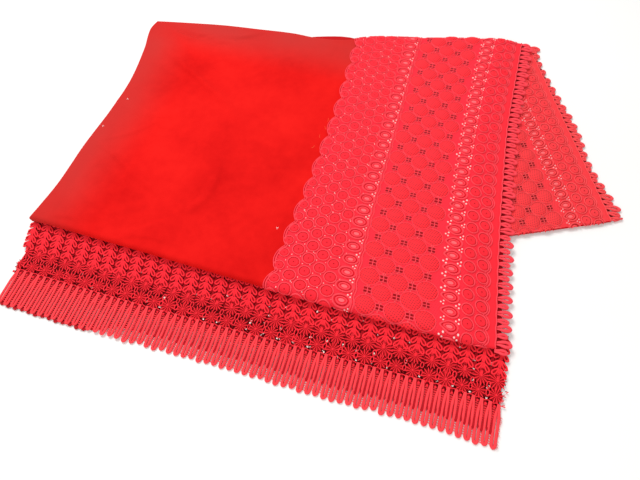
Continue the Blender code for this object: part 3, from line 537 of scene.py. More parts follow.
class Surface:
    """A material and the nodes that colour it."""

    def __init__(self, name, settings):
        self.material = bpy.data.materials.new(name)
        self.material.use_nodes = True
        self.nodes = self.material.node_tree.nodes
        self.links = self.material.node_tree.links
        self.shader = self.nodes["Principled BSDF"]
        for socket, value in settings.items():
            self.shader.inputs[socket].default_value = value

    def node(self, kind, settings, sources):
        """New node with its own settings, fed from other nodes."""
        node = self.nodes.new("ShaderNode" + kind)
        for socket, value in settings.items():
            node.inputs[socket].default_value = value
        for socket, source in sources.items():
            self.links.new(source, node.inputs[socket])
        return node

    def place(self):
        return self.nodes.new("ShaderNodeTexCoord").outputs["Object"]

    def flat(self):
        return self.nodes.new("ShaderNodeUVMap").outputs["UV"]

    def split(self, source):
        return self.node("SeparateXYZ", {}, {"Vector": source}).outputs

    def noise(self, source, scale, detail=2.0):
        return self.node("TexNoise", {"Scale": scale, "Detail": detail}, {"Vector": source}).outputs["Fac"]

    def rise(self, source, low, high):
        """Runs softly from 0 where the source is low to 1 where it is high."""
        node = self.node("MapRange", {"From Min": low, "From Max": high}, {"Value": source})
        node.interpolation_type = "SMOOTHSTEP"
        return node.outputs["Result"]

    def compute(self, operation, *values):
        node = self.nodes.new("ShaderNodeMath")
        node.operation = operation
        for socket, value in zip(node.inputs, values):
            if isinstance(value, (int, float)):
                socket.default_value = value
            else:
                self.links.new(value, socket)
        return node.outputs["Value"]

    def ramp(self, source, *stops):
        ramp = self.node("ValToRGB", {}, {"Fac": source})
        elements = ramp.color_ramp.elements
        while len(elements) < len(stops):
            elements.new(0.5)
        for element, (place, colour) in zip(elements, stops):
            element.position = place
            element.color = (*colour, 1.0)
        return ramp.outputs["Color"]

    def colour(self, source):
        self.links.new(source, self.shader.inputs["Base Color"])

    def bump(self, height, distance, strength):
        bump = self.node("Bump", {"Distance": distance, "Strength": strength}, {"Height": height})
        self.links.new(bump.outputs["Normal"], self.shader.inputs["Normal"])


# Painted sheen of the nap: paler, duller bands of the velvet by the folds. Reach from the left fold, and
# the rows where the back one starts and ends
SHEEN_BAND_LEFT = 0.078
SHEEN_BAND_BACK = (0.118, 0.190)

# Noise scales of the velvet: patches where the nap lies differently, strokes of a hand, and the pile
PATCHES = 11.0
STROKES = 95.0
PILE = 620.0


def velvet_material(name, dark, mid, bright, fold_sheen, sheen):
    """Velvet: soft patches, a fine pile, and bands of painted sheen by the folds."""
    surface = Surface(name, {"Roughness": 0.9, "Specular IOR Level": 0.04, "Sheen Weight": sheen,
                             "Sheen Roughness": 0.30, "Sheen Tint": VELVET_SHEEN})
    place = surface.place()
    patches = surface.noise(place, PATCHES, 3.0)
    blend = surface.compute("ADD", surface.compute("MULTIPLY", patches, 0.75),
                         surface.compute("MULTIPLY", surface.noise(place, STROKES), 0.25))
    colour = surface.ramp(blend, (0.30, dark), (0.50, mid), (0.70, bright))
    split = surface.split(surface.flat())
    # Painted sheen: the colour turns paler and duller towards the left and back folds
    band = surface.compute("MAXIMUM", surface.rise(split["X"], LEFT_COLUMN + SHEEN_BAND_LEFT, LEFT_COLUMN),
                        surface.rise(split["Y"], *SHEEN_BAND_BACK))
    band = surface.compute("MULTIPLY", band, surface.compute("ADD", patches, 0.25))
    mix = surface.node("MixRGB", {"Color2": (*fold_sheen, 1.0)}, {"Fac": band, "Color1": colour})
    surface.colour(mix.outputs["Color"])
    surface.bump(surface.noise(place, PILE), 0.0003, 0.6)
    return surface.material


def cord_material(name, low, high):
    """Twisted rayon cord: the twist runs round the cord, and its tone varies along it."""
    surface = Surface(name, {"Roughness": 0.6, "Specular IOR Level": THREAD_GLOSS, "Sheen Weight": 0.15,
                             "Sheen Roughness": 0.4, "Sheen Tint": THREAD_SHEEN})
    tone = surface.noise(surface.place(), 260.0)
    surface.colour(surface.ramp(tone, (0.32, low), (0.68, high)))
    twist = surface.node("TexWave", {"Scale": 330.0, "Distortion": 0.6}, {"Vector": surface.flat()})
    twist.bands_direction = "DIAGONAL"
    surface.bump(twist.outputs["Fac"], 0.00018, 0.5)
    return surface.material


NET_TURN = math.radians(24.0)


def net_material(name, ground, hole, pitch, share, bump):
    """Stitched cloth with a fine square net of tiny holes, on its flat coordinates."""
    surface = Surface(name, {"Roughness": 0.7, "Specular IOR Level": THREAD_GLOSS, "Sheen Weight": 0.12,
                             "Sheen Tint": THREAD_SHEEN})
    turned_flat = surface.node("Mapping", {"Rotation": (0.0, 0.0, NET_TURN)}, {"Vector": surface.flat()})
    split = surface.split(turned_flat.outputs["Vector"])
    waves = [surface.compute("SINE", surface.compute("MULTIPLY", split[axis], 2 * math.pi / pitch))
             for axis in ("X", "Y")]
    depth = surface.compute("MULTIPLY", surface.compute("ADD", *waves), 0.25)
    depth = surface.compute("ADD", depth, 0.5)
    surface.colour(surface.ramp(depth, (share - 0.14, hole), (share + 0.10, ground)))
    surface.bump(depth, bump, 0.7)
    return surface.material


def plain_material(name, low, high, scale, roughness, sheen, bump=0.0003):
    """One colour that varies a little from place to place."""
    surface = Surface(name, {"Roughness": roughness, "Specular IOR Level": THREAD_GLOSS,
                             "Sheen Weight": sheen})
    tone = surface.noise(surface.place(), scale)
    surface.colour(surface.ramp(tone, (0.35, low), (0.65, high)))
    surface.bump(tone, bump, 0.5)
    return surface.material


def shaded(colour, share):
    return tuple(share * part for part in colour)


# How much darker a cord's dark tone is
CORD_SHADE = 0.88

# Nets: how dark the holes are, their pitch, their share, and the depth of the bump
NETS = {
    WEB: (0.72, 0.0021, 0.22, 0.0004),
    FILM_HIGHLIGHT: (0.70, 0.0013, 0.30, 0.0002),
    DISC: (0.45, 0.0022, 0.28, 0.0004),
}

# Plain colours, the groove and shade ones painted shade and the pale one painted glints: shares of the
# colour at the noise's low and high end, noise scale, roughness, sheen
PLAIN_THREADS = {
    GROOVE_SHADE: (1.0, 0.80, 500.0, 0.8, 0.0),
    PAINTED_GLINT: (1.0, 0.90, 300.0, 0.5, 0.1),
    SATIN: (0.93, 1.0, 420.0, 0.7, 0.1),
    SHADE: (1.0, 0.70, 300.0, 0.9, 0.0),
}


def lace_materials(prefix, colours):
    """Materials of one layer's lace, for the slots that it uses."""
    materials = {}
    for slot, colour in colours.items():
        name = prefix + "_" + slot
        if slot == CORD:
            materials[slot] = cord_material(name, shaded(colour, CORD_SHADE), colour)
        elif slot in NETS:
            hole, *form = NETS[slot]
            materials[slot] = net_material(name, colour, shaded(colour, hole), *form)
        else:
            low, high, *finish = PLAIN_THREADS[slot]
            materials[slot] = plain_material(name, shaded(colour, low), shaded(colour, high), *finish)
    return materials


# The fifth colour of each velvet is its painted sheen by the folds
VELVET = {CLOTH: velvet_material(
    "velvet_nap", (0.60, 0.0052, 0.0052), (0.72, 0.0084, 0.0074), (0.80, 0.0120, 0.0096),
    (0.50, 0.036, 0.032), 0.30)}
VELVET_LOWER = {CLOTH: velvet_material(
    "velvet_lower_nap", (0.46, 0.0050, 0.0075), (0.54, 0.0070, 0.0095), (0.62, 0.0100, 0.0120),
    (0.50, 0.014, 0.016), 0.20)}
LACE = lace_materials("lace", {
    CORD: (1.0, 0.064, 0.090), WEB: (0.95, 0.024, 0.046), GROOVE_SHADE: (0.58, 0.003, 0.012),
    PAINTED_GLINT: (1.0, 0.62, 0.60), FILM_HIGHLIGHT: (1.0, 0.15, 0.17), DISC: (0.98, 0.028, 0.042),
    SATIN: (0.95, 0.019, 0.036), SHADE: (0.36, 0.004, 0.008)})
LACE_LOWER = lace_materials("lace_lower", {
    CORD: (0.95, 0.078, 0.088), WEB: (0.86, 0.038, 0.050), GROOVE_SHADE: (0.42, 0.005, 0.011),
    PAINTED_GLINT: (0.95, 0.40, 0.40), FILM_HIGHLIGHT: (0.92, 0.15, 0.16), DISC: (0.90, 0.044, 0.052),
    SATIN: (0.86, 0.040, 0.050), SHADE: (0.26, 0.006, 0.008)})
# The border's groove colour is painted shade, in its leaves' slits and behind its flowers
BORDER = lace_materials("border", {CORD: (0.97, 0.024, 0.040), GROOVE_SHADE: (0.36, 0.003, 0.006)})
FRINGE = lace_materials("fringe", {CORD: (1.0, 0.056, 0.070)})
# Second layer of the border and fringe: the same lace painted darker as shade under the first, a
# near-black groove colour for the shade of the layers beneath, and painted glints
SHADED_UNDER = lace_materials("under", {
    CORD: (0.46, 0.005, 0.012), GROOVE_SHADE: (0.15, 0.001, 0.002), PAINTED_GLINT: (1.0, 0.74, 0.68)})


# Lace pattern, as flat motifs: a column is (across, phase in ring pitches)

RING_PITCH = 0.0155
RING_COLUMNS = ((-0.0200, 0.83), (-0.0073, 0.32), (0.0054, 0.835), (0.0180, 0.36), (0.0306, 0.91))
FIRST_RING_SIZE = 0.82
LEFT_OVALS = (0.0454, 0.56)
WAVY_CORD = 0.0552
DISC_COLUMNS = ((0.0664, 1.22), (0.0792, 0.22), (0.0925, 1.22), (0.1060, 0.22), (0.1196, 1.22))
RIGHT_OVALS = (0.1402, 0.72)
RIGHT_RINGS = ((0.1576, 0.22), (0.1712, 0.72))

# Rows of rings on the top layer and on the turned-out one, and the ground's steps
TOP_RING_ROWS = 31
FLAP_RING_ROWS = 19
LACE_BEFORE = 0.012
LACE_STEP = 0.00155

# Motifs: profiles are (radius, rise over the web)
CORD_RADIUS = 0.00074
RING_RADIUS = 0.0062
PIN_HOLE = ((0.0, -0.0002), (0.00050, -0.0001), (0.00065, 0.0006))
RING_BUTTON = ((0.00065, 0.0006), (0.0012, 0.0012), (0.0018, 0.0011), (0.0023, 0.0007),
               (0.0031, 0.0010), (0.0041, 0.0011), (0.0049, 0.0006), (0.0051, 0.0))
RING_GROOVE = ((0.0049, 0.0001), (0.0058, 0.0001))
DISC_RADIUS = 0.0096
DISC_RIM = 0.00050
DISC_BUTTON = ((0.0, 0.0022), (0.0035, 0.0020), (0.0065, 0.0014), (0.0082, 0.0007), (0.0090, 0.0001))
DISC_GROOVE = ((0.0088, 0.0001), (0.0095, 0.0001))

# Ovals: half length, half width and point; then radii of their cords, size of the inner cord, and
# shares of the half width where the base, the painted shade ring and the painted highlight in the middle
# end
LEFT_OVAL = (0.0082, 0.0060, 0.0)
RIGHT_OVAL = (0.0084, 0.0061, 0.50)
OVAL_CORDS = (0.00092, 0.00070)
INNER_OVAL = (0.60, 0.54)
OVAL_BASE = 0.96
OVAL_GROOVE = (0.73, 0.81)
OVAL_FILM = 0.30
FILM_STRETCH = 1.6

# Net between the discs: half size of its patch of painted shade, its bars, and knots of painted highlight
# at its ends
NET_HALF_ACROSS, NET_HALF_ALONG = 0.0032, 0.0036
NET_BARS = (-0.0032, 0.0, 0.0032)
NET_BAR_HALF = 0.0038
NET_BAR_RADIUS = 0.00050
NET_BAR_LIFT = WEB_LIFT + 0.0006
NET_SAG = 0.0002
NET_KNOTS = ((-0.0008, 0.0046), (0.0010, 0.0046), (-0.0010, -0.0045))
NET_KNOT_RADIUS = 0.00056

# Painted glints beside the ovals, as small pale knots, and how far from the ovals' middles they lie
HOLE_RADIUS = 0.00095
HOLES = ((-0.0018, -0.0002), (0.0010, 0.0020), (0.0006, -0.0018))
LEFT_HOLES = 0.0065
RIGHT_HOLES = (-0.0062, 0.0078)

# Scalloped edges: valley, depth and phase; then cords beside them as (inset, radius)
SCALLOP_VALLEY = -0.0212
SCALLOP_DEPTH = 0.0068
SCALLOP_PHASE = 0.88
SCALLOP_POWER = 0.72
SCALLOP_CORDS = ((0.0005, 0.00050), (0.0027, 0.00075))
# Painted shade along the scalloped edge: a strip between its cords, and a line of dots
SCALLOP_GROOVE = (0.0009, 0.0021)
SCALLOP_DOTS = 0.0042
SCALLOP_DOT = 0.0006
HEM_SCALLOP_VALLEY = 0.1762
HEM_SCALLOP_DEPTH = 0.0042
HEM_SCALLOP_CORDS = ((0.0006, 0.00070), (0.0030, 0.00045))
HEM_EDGE = HEM_COLUMN - 0.0005
HEM_WAVE = 0.0004
HEM_CORD = 0.00070
WAVY_CORDS = (-0.0011, 0.0011)
WAVY_CORD_RADIUS = 0.00064
WAVY_CORD_WAVE = 0.0006

# Small knots of painted glint between the rings: share kept, share of the gap where they lie, second
# knot's step
KNOT_SHARE = 0.6
KNOT_GAP = 0.36
KNOT_STEP = (-0.0014, 0.0012)
SMALL_KNOT = 0.00052

# How uneven handwork is: spread of the place and of the size
RING_UNEVEN = (0.00018, 0.025)
DOT_UNEVEN = (0.0002, 0.2)
KNOT_UNEVEN = (0.0003, 0.2)
OVAL_UNEVEN = (0.0002, 0.03)
HOLE_UNEVEN = (0.0003, 0.1)
DISC_UNEVEN = (0.00018, 0.02)
NET_UNEVEN = (0.0003, 0.05)

# Directions down a knot's dome, and its height over its radius
KNOT_TURNS = (0.02, 0.55, 1.1, 1.7)
KNOT_HEIGHT = 0.8


def circle_path(radius, count):
    angles = np.linspace(0.0, 2 * np.pi, count, endpoint=False)
    return np.stack((radius * np.cos(angles), radius * np.sin(angles)), 1)


# Small domed knot; unless another slot is given it is a painted glint
def knot(radius, lift, slot=PAINTED_GLINT, across=0.0, along=0.0):
    profile = [(radius * math.sin(turn), KNOT_HEIGHT * radius * math.cos(turn)) for turn in KNOT_TURNS]
    return moved(turned(profile, 6, slot, lift=lift), across, along)


def ring_motif():
    """Raised ring round a domed button, which has a small ring round its pin-hole."""
    return [
        tube(circle_path(RING_RADIUS, 22), CORD_RADIUS, CORD_LIFT, closed=True),
        turned(PIN_HOLE, 8, SHADE),
        turned(RING_BUTTON, 18, SATIN),
        # Ring of painted shade in the groove round the button
        turned(RING_GROOVE, 18, GROOVE_SHADE),
    ]


def oval_path(half_length, half_width, point=0.0, count=26):
    """Oval across the band; point sharpens its left end."""
    angles = np.linspace(0.0, 2 * np.pi, count, endpoint=False)
    narrow = 1.0 - point * np.clip(-np.cos(angles), 0.0, 1.0) ** 1.2
    return np.stack((half_length * np.cos(angles), half_width * np.sin(angles) * narrow), 1)


def oval_motif(half_length, half_width, point):
    """Open oval with two raised cords, a thin ring of painted shade between and a pale net with a painted
    highlight in the middle.
    """
    stretch = half_length / half_width
    inner = oval_path(INNER_OVAL[0] * half_length, INNER_OVAL[1] * half_width, point)
    dark_start, dark_end = (share * half_width for share in OVAL_GROOVE)
    return [
        tube(oval_path(half_length, half_width, point), OVAL_CORDS[0], CORD_LIFT, closed=True),
        tube(inner, OVAL_CORDS[1], CORD_LIFT - 0.0001, closed=True),
        turned(((0.0, 0.0001), (OVAL_BASE * half_width, 0.0001)), 18, SATIN, stretch),
        turned(((dark_start, 0.0002), (dark_end, 0.0002)), 18, GROOVE_SHADE, stretch),
        # Pale net in the middle, its paleness a painted highlight
        turned(((0.0, 0.0004), (OVAL_FILM * half_width, 0.0002)), 14, FILM_HIGHLIGHT, FILM_STRETCH),
    ]


def disc_motif():
    """Large domed button of fine net with a thin rim."""
    return [
        tube(circle_path(DISC_RADIUS, 34), DISC_RIM, CORD_LIFT - 0.0002, closed=True),
        turned(DISC_BUTTON, 28, DISC),
        # Ring of painted shade round the button
        turned(DISC_GROOVE, 28, GROOVE_SHADE),
    ]


def net_motif():
    """Ladder of short bars over a patch of painted shade in the gap between discs, with knots of painted
    highlight at its ends.
    """
    across = np.array(((-NET_HALF_ACROSS,) * 2, (NET_HALF_ACROSS,) * 2))
    along = np.array(((-NET_HALF_ALONG, NET_HALF_ALONG),) * 2)
    lines = [((-NET_BAR_HALF, place), (0.0, place + NET_SAG), (NET_BAR_HALF, place))
             for place in NET_BARS]
    lines.append(((0.0, -NET_BAR_HALF), (NET_SAG, 0.0), (0.0, NET_BAR_HALF)))
    return [grid_part(across, along, WEB_LIFT + 0.0002, SHADE),
            *(tube(line, NET_BAR_RADIUS, NET_BAR_LIFT, sides=4) for line in lines),
            *(knot(NET_KNOT_RADIUS, WEB_LIFT + 0.0005, FILM_HIGHLIGHT, *place) for place in NET_KNOTS)]


def holes_motif():
    """Three painted glints in a triangle, as small pale knots."""
    return [knot(HOLE_RADIUS, WEB_LIFT + 0.0002, PAINTED_GLINT, *place) for place in HOLES]


def line_of(column, offset, row_count):
    """Places of a column's motifs, from just under the front fold to just past the back one."""
    return [(column, FIRST_ROW + (offset + k + 0.5) * RING_PITCH) for k in range(-2, row_count)]


def scallop_column(rows, valley, depth, pitch, phase):
    bow = np.abs(np.sin(np.pi * (rows - FIRST_ROW - phase) / pitch)) ** SCALLOP_POWER
    return valley + depth * bow


def band_part(start, end, rows, columns, lifts, slot):
    """Strip of the ground between two edges, each a column for every row."""
    shares = np.linspace(0.0, 1.0, columns)[:, None]
    across = start + shares * (end - start)
    lift = np.interp(shares, np.linspace(0.0, 1.0, len(lifts)), lifts)
    return grid_part(across, np.broadcast_to(rows, across.shape), lift, slot)


def beside(edge, rows, radius, lift):
    """Cord along an edge, which is a column for every row."""
    return tube(np.stack((edge, rows), 1), radius, lift)


def small_knots(row_count):
    """Painted glints in the gaps between the ring columns, as pale dots."""
    spots = []
    for (column, offset), (after, _) in zip(RING_COLUMNS, RING_COLUMNS[1:] + (LEFT_OVALS,)):
        near, far = column + KNOT_GAP * (after - column), after - KNOT_GAP * (after - column)
        for _, along in line_of(column, 0.0, row_count):
            middle = along + (offset + 0.5) * RING_PITCH
            spots.append((near, middle))
            spots.append((far, along + offset * RING_PITCH))
            spots.append((near + KNOT_STEP[0], middle + KNOT_STEP[1]))
    return [spot for spot in spots if RANDOM.random() < KNOT_SHARE]


def gather_rings(rows, row_count, left_part):
    """Rings of the band, and on its whole width the scalloped left edge with its cords, a strip and dots
    of painted shade, and painted glints between the rings.
    """
    rings = Gather()
    ring = ring_motif()
    small_ring = [moved(part, 0.0, 0.0, size=FIRST_RING_SIZE) for part in ring]
    for column, offset in RING_COLUMNS + RIGHT_RINGS:
        if left_part or column >= RING_COLUMNS[-2][0]:
            motif = small_ring if column == RING_COLUMNS[0][0] else ring
            rings.repeat(motif, line_of(column, offset, row_count), *RING_UNEVEN)
    if left_part:
        left = left_edge(rows)
        start, end = (left + inset for inset in SCALLOP_GROOVE)
        # Strip and dots of painted shade along the scalloped edge
        rings.add(band_part(start, end, rows, 2, (WEB_LIFT + 0.0002,) * 2, GROOVE_SHADE))
        rings.add(*(beside(left + inset, rows, radius, CORD_LIFT - 0.0002)
                    for inset, radius in SCALLOP_CORDS))
        dot = turned(((0.0, 0.0002), (SCALLOP_DOT, 0.0002)), 6, GROOVE_SHADE)
        rings.repeat([dot], np.stack((left + SCALLOP_DOTS, rows), 1)[::2], *DOT_UNEVEN)
        rings.repeat([knot(SMALL_KNOT, WEB_LIFT + 0.0003)], small_knots(row_count), *KNOT_UNEVEN)
    right = right_edge(rows)
    rings.add(*(beside(right - inset, rows, radius, CORD_LIFT) for inset, radius in HEM_SCALLOP_CORDS))
    rings.add(beside(hem_edge(rows) - 0.0006, rows, HEM_CORD, 0.0008))
    return rings


def gather_middle(rows, row_count):
    """Ovals with their painted glints, the two wavy cords, and the discs with the nets between them."""
    middle = Gather()
    for (column, offset), form, holes in ((LEFT_OVALS, LEFT_OVAL, (LEFT_HOLES,)),
                                          (RIGHT_OVALS, RIGHT_OVAL, RIGHT_HOLES)):
        middle.repeat(oval_motif(*form), line_of(column, offset, row_count), *OVAL_UNEVEN)
        for shift in holes:
            middle.repeat(holes_motif(), line_of(column + shift, offset + 0.5, row_count), *HOLE_UNEVEN)
    wave = WAVY_CORD_WAVE * np.cos(2 * np.pi * (rows - FIRST_ROW) / RING_PITCH)
    middle.add(*(beside(WAVY_CORD + inset + wave, rows, WAVY_CORD_RADIUS, CORD_LIFT)
                 for inset in WAVY_CORDS))
    half = row_count // 2 + 1
    for column, offset in DISC_COLUMNS:
        start = FIRST_ROW + offset * RING_PITCH
        discs = [(column, start + (2 * k + 1) * RING_PITCH) for k in range(-2, half)]
        nets = [(column, start + 2 * k * RING_PITCH) for k in range(-1, half + 1)]
        middle.repeat(disc_motif(), discs, *DISC_UNEVEN)
        middle.repeat(net_motif(), nets, *NET_UNEVEN)
    return middle


def left_edge(rows):
    return scallop_column(rows, SCALLOP_VALLEY, -SCALLOP_DEPTH, 2 * RING_PITCH, SCALLOP_PHASE * RING_PITCH)


def right_edge(rows):
    """Inner edge of the plain strip along the hem, scalloped round the last rings."""
    phase = RIGHT_RINGS[1][1] * RING_PITCH
    return scallop_column(rows, HEM_SCALLOP_VALLEY, HEM_SCALLOP_DEPTH, RING_PITCH, phase)


def hem_edge(rows):
    return HEM_EDGE + HEM_WAVE * np.sin(np.pi * rows / TRIM_PITCH)


def gather_ground(rows):
    """Stitched ground of the band, with a plain satin strip along each edge."""
    left, right = left_edge(rows), right_edge(rows)
    inner_left = left + SCALLOP_CORDS[1][0]
    ground = Gather()
    ground.add(band_part(left, inner_left, rows, 5, (0.0002, WEB_LIFT, WEB_LIFT), SATIN),
               band_part(inner_left, right, rows, 66, (WEB_LIFT, WEB_LIFT), WEB),
               band_part(right, hem_edge(rows), rows, 8, (WEB_LIFT, WEB_LIFT, 0.0003), SATIN))
    return ground


def make_lace(prefix, row_count, left_part, place, materials, slot_name, inside):
    """The whole band on a layer's form, as three pieces."""
    rows = np.arange(FIRST_ROW - LACE_BEFORE, FIRST_ROW + row_count * RING_PITCH, LACE_STEP)
    gathered = {
        "lace_ground": gather_ground(rows),
        "lace_rings": gather_rings(rows, row_count, left_part),
        "lace_middle": gather_middle(rows, row_count),
    }
    return [parts.build(prefix + name, place, materials, slot_name, inside)
            for name, parts in gathered.items()]


# Pieces of the top layer

LACE_END = -0.90 * FOLD_RADIUS


def on_top_layer(points, placed):
    """Lace that shows on the top layer: it ends just under each fold."""
    column, row = points[:, 0], points[:, 1]
    back = back_fold(cross_x(column, share_back(column, row)))
    return (row > FRONT_FOLD + LACE_END) & (row < back - LACE_END)


VELVET_HEM = (
    # beyond the hem's column, lift
    (-0.0006, -0.00005),
    (0.0, -0.0004),
    (0.0001, -0.0009),
    (-0.0003, -0.0014),
    (-0.0030, -0.0016),
    (-0.0070, -0.0016),
)
VELVET_ROWS = 170
VELVET_STEP = 0.0025


def make_velvet_top():
    """Velvet of the top layer: a thin cloth, tucked under at three folds, with a rolled hem."""
    turn = FOLD_RADIUS
    under = -np.pi * turn + turn
    tuck = np.linspace(under - TUCK_LENGTH, under, 3)[:-1]
    rolled = np.concatenate((tuck, np.linspace(under, turn, 15)))
    flat_part = np.arange(turn + 0.002, HEM_COLUMN - LEFT_COLUMN, VELVET_STEP)
    columns = LEFT_COLUMN + np.concatenate((rolled, flat_part))
    hem = np.array(VELVET_HEM)
    across = np.concatenate((columns, HEM_COLUMN + hem[:, 0]))
    lift = np.concatenate((np.zeros(len(columns)), hem[:, 1]))
    back = back_fold(cross_x(across, np.ones(len(across))))
    front_rows = np.repeat(rolled[None] + FRONT_FOLD, len(across), 0)
    back_rows = back[:, None] - rolled[::-1][None]
    start, end = front_rows[:, -1:], back_rows[:, :1]
    shares = (np.arange(1, VELVET_ROWS) / VELVET_ROWS)[None]
    rows = np.concatenate((front_rows, start + shares * (end - start), back_rows), 1)
    velvet = Gather()
    velvet.add(grid_part(across[:, None], rows, lift[:, None]))
    piece = velvet.build("velvet_cloth", top_place, VELVET, "velvet")
    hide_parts("velvet_top")
    return piece


def make_lace_top():
    pieces = make_lace("", TOP_RING_ROWS, True, top_place, LACE, "lace", on_top_layer)
    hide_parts("lace_top")
    return pieces


# Loops along the hems

# Half of a loop: shares of its length and of its half width, from the root to the tip
LOOP_ROOT = (-0.0012, 0.45)
LOOP_SIDE = ((0.22, 0.62), (0.48, 0.92), (0.70, 1.0), (0.90, 0.72))

# Long and short loops: half width, and how much the cord thickens from the root on
LONG_LOOP = (0.0023, 0.00082)
SHORT_LOOP = (0.0017, 0.00050)
LOOP_ROOT_RADIUS = 0.00100
LOOP_SWELL_RUN = 1.9
LOOP_BOW = 0.0007
LOOP_TIP = 0.0014
LOOP_FLATNESS = 0.72
TRIM_TURN = 0.08
TRIM_TURN_UNEVEN = 0.05
TRIM_LENGTH_UNEVEN = 0.0003

# Strip behind the loops' roots: the layer beneath, darkened with painted shade
TRIM_SHADE_END = 0.003
TRIM_SHADE_WAVE = 0.0008
TRIM_SHADE_DROPS = (0.0012, 0.0014)


def loop_path(length, half_width):
    """Open teardrop of cord: two roots side by side, widest past its middle."""
    side = [LOOP_ROOT] + [(along * length, wide) for along, wide in LOOP_SIDE]
    points = [(across, -wide * half_width) for across, wide in side] + [(length, 0.0)]
    points += [(across, wide * half_width) for across, wide in side[::-1]]
    return smooth_path(points, 5)


def trim_loops(rows, reaches, lift, fall, turn, first_long=True):
    """Teardrop loops that stand out from a hem, long and short in turn, on a strip of the layer beneath
    darkened with painted shade.
    """
    trim = Gather()
    for index, (row, reach) in enumerate(zip(rows, reaches)):
        short = (index % 2 == 1) == first_long
        half_width, swell = SHORT_LOOP if short else LONG_LOOP
        length = float(reach) - short * TRIM_DIFFERENCE - LOOP_TIP + RANDOM.normal(0.0, TRIM_LENGTH_UNEVEN)
        length /= math.cos(turn)
        path = loop_path(length, half_width)
        share = np.clip(path[:, 0] / length, 0.0, 1.0)
        bow = lift - fall * share ** 1.5 + LOOP_BOW * np.sin(np.pi * share)
        radius = LOOP_ROOT_RADIUS + swell * smooth_step(LOOP_SWELL_RUN * share)
        loop = tube(path, radius, bow, sides=7, whole=True, flat=LOOP_FLATNESS)
        trim.add(moved(loop, HEM_COLUMN, row, angle=turn + RANDOM.normal(0.0, TRIM_TURN_UNEVEN)))
    strip_rows = np.linspace(min(rows) - TRIM_SHADE_END, max(rows) + TRIM_SHADE_END, 4 * len(rows))
    outer = HEM_COLUMN + TRIM_SHADE_WIDTH + TRIM_SHADE_WAVE * np.sin(2 * np.pi * strip_rows / TRIM_PITCH)
    trim.add(band_part(np.full_like(outer, HEM_COLUMN - 0.0006), outer, strip_rows, 3,
                       [lift - drop for drop in TRIM_SHADE_DROPS], SHADE))
    return trim


def make_trim_top():
    back = float(back_fold(cross_x(np.array([HEM_COLUMN]), np.array([1.0])))[0])
    rows = np.arange(FRONT_FOLD - 0.0004, back - 0.0045, TRIM_PITCH)
    trim = trim_loops(rows, np.full(len(rows), TRIM_REACH), -0.0009, 0.0010, TRIM_TURN, False)
    first, last = FRONT_FOLD + FOLD_RADIUS, back - FOLD_RADIUS

    def place(column, row, lift):
        """Level places that stand out from the hem, wherever it runs."""
        edge = top_place(np.minimum(column, HEM_COLUMN), np.clip(row, first, last), 0.0)
        edge[:, 0] += np.maximum(column - HEM_COLUMN, 0.0)
        edge[:, 1] += row - np.clip(row, first, last)
        edge[:, 2] += lift
        return edge

    piece = trim.build("trim_loops", place, LACE, "lace")
    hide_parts("trim_top")
    return piece


# Lower layers

LAYERS = (
    # low, high, inset from the folds, front and hem
    (0.0002, 0.0027, 0.0038, 0.0198, 0.0145),
    (0.0029, 0.0055, 0.0040, 0.0200, 0.0150),
)
LAYER_DEPTH = 0.060
LAYER_STEPS = 44
LAYER_WOBBLE = 0.0012

# How often a layer's outline is fitted again to the slanted back fold
LAYER_FITS = 4


def make_folded_layers():
    """Hidden layers under the top one, as rounded folded edges."""
    layers = Gather()
    none, all_way, there = np.zeros(LAYER_STEPS), np.ones(LAYER_STEPS), np.linspace(0, 1, LAYER_STEPS)
    across = np.concatenate((there, all_way, there[::-1], none))
    share = np.concatenate((none, there, all_way, there[::-1]))
    x_start = LEFT_COLUMN + across * (HEM_COLUMN - LEFT_COLUMN)
    for number, (low, high, fold_inset, front_inset, hem_inset) in enumerate(LAYERS):
        half = (high - low) / 2
        wobble = LAYER_WOBBLE * np.sin(7.0 * (across + share) + 2.0 * number)
        round_edge = [(half - half * math.cos(turn), half * math.sin(turn))
                      for turn in np.linspace(math.pi / 2, -math.pi / 2, 9)]
        rings = []
        for inset, rise in [(LAYER_DEPTH, half), *round_edge, (LAYER_DEPTH, -half)]:
            x = x_start
            for _ in range(LAYER_FITS):
                fold = read_table(BACK_FOLDS, x)[1]
                front = FRONT_FOLD + front_inset + inset
                y = front + share * (fold - fold_inset - inset - wobble - front)
                lean = share_back(x, y)
                left = cross_x(np.full_like(x, LEFT_COLUMN), lean) + fold_inset + inset + wobble
                hem = cross_x(np.full_like(x, HEM_COLUMN), lean) - hem_inset - inset
                x = left + across * (hem - left)
            rings.append(np.stack((x, y, np.full_like(x, (low + high) / 2 + rise)), -1))
        layers.add(grid_part(*np.moveaxis(np.array(rings), -1, 0)))
    piece = layers.build("folded_cloth", flat_place, VELVET_LOWER, "velvet_lower")
    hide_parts("folded_layers")
    return piece


# How far the turned-out layer's loops reach beyond its hem: distance along it, reach
FLAP_TRIM_REACH = (
    (0.000, 0.0150),
    (0.012, 0.0110),
    (0.033, 0.0070),
    (0.065, 0.0078),
    (0.092, 0.0100),
    (0.120, 0.0124),
    (0.150, 0.0138),
    (0.167, 0.0118),
    (0.185, 0.0090),
    (0.214, 0.0095),
    (0.242, 0.0140),
    (0.267, 0.0165),
    (0.280, 0.0125),
)
FLAP_TRIM_TURN = -0.42
FLAP_HEM = (
    # beyond the hem's column, lift
    (0.0, 0.0),
    (0.0004, -0.0003),
    (0.0006, -0.0009),
    (0.0003, -0.0015),
    (-0.0040, -0.0018),
)
FLAP_ROWS = 110
FLAP_COLUMNS = 64
FLAP_TUCK = 0.010

# How far the lace and the cloth run in under the top layer's hem
FLAP_LACE_UNDER = 0.010
FLAP_CLOTH_UNDER = 0.014


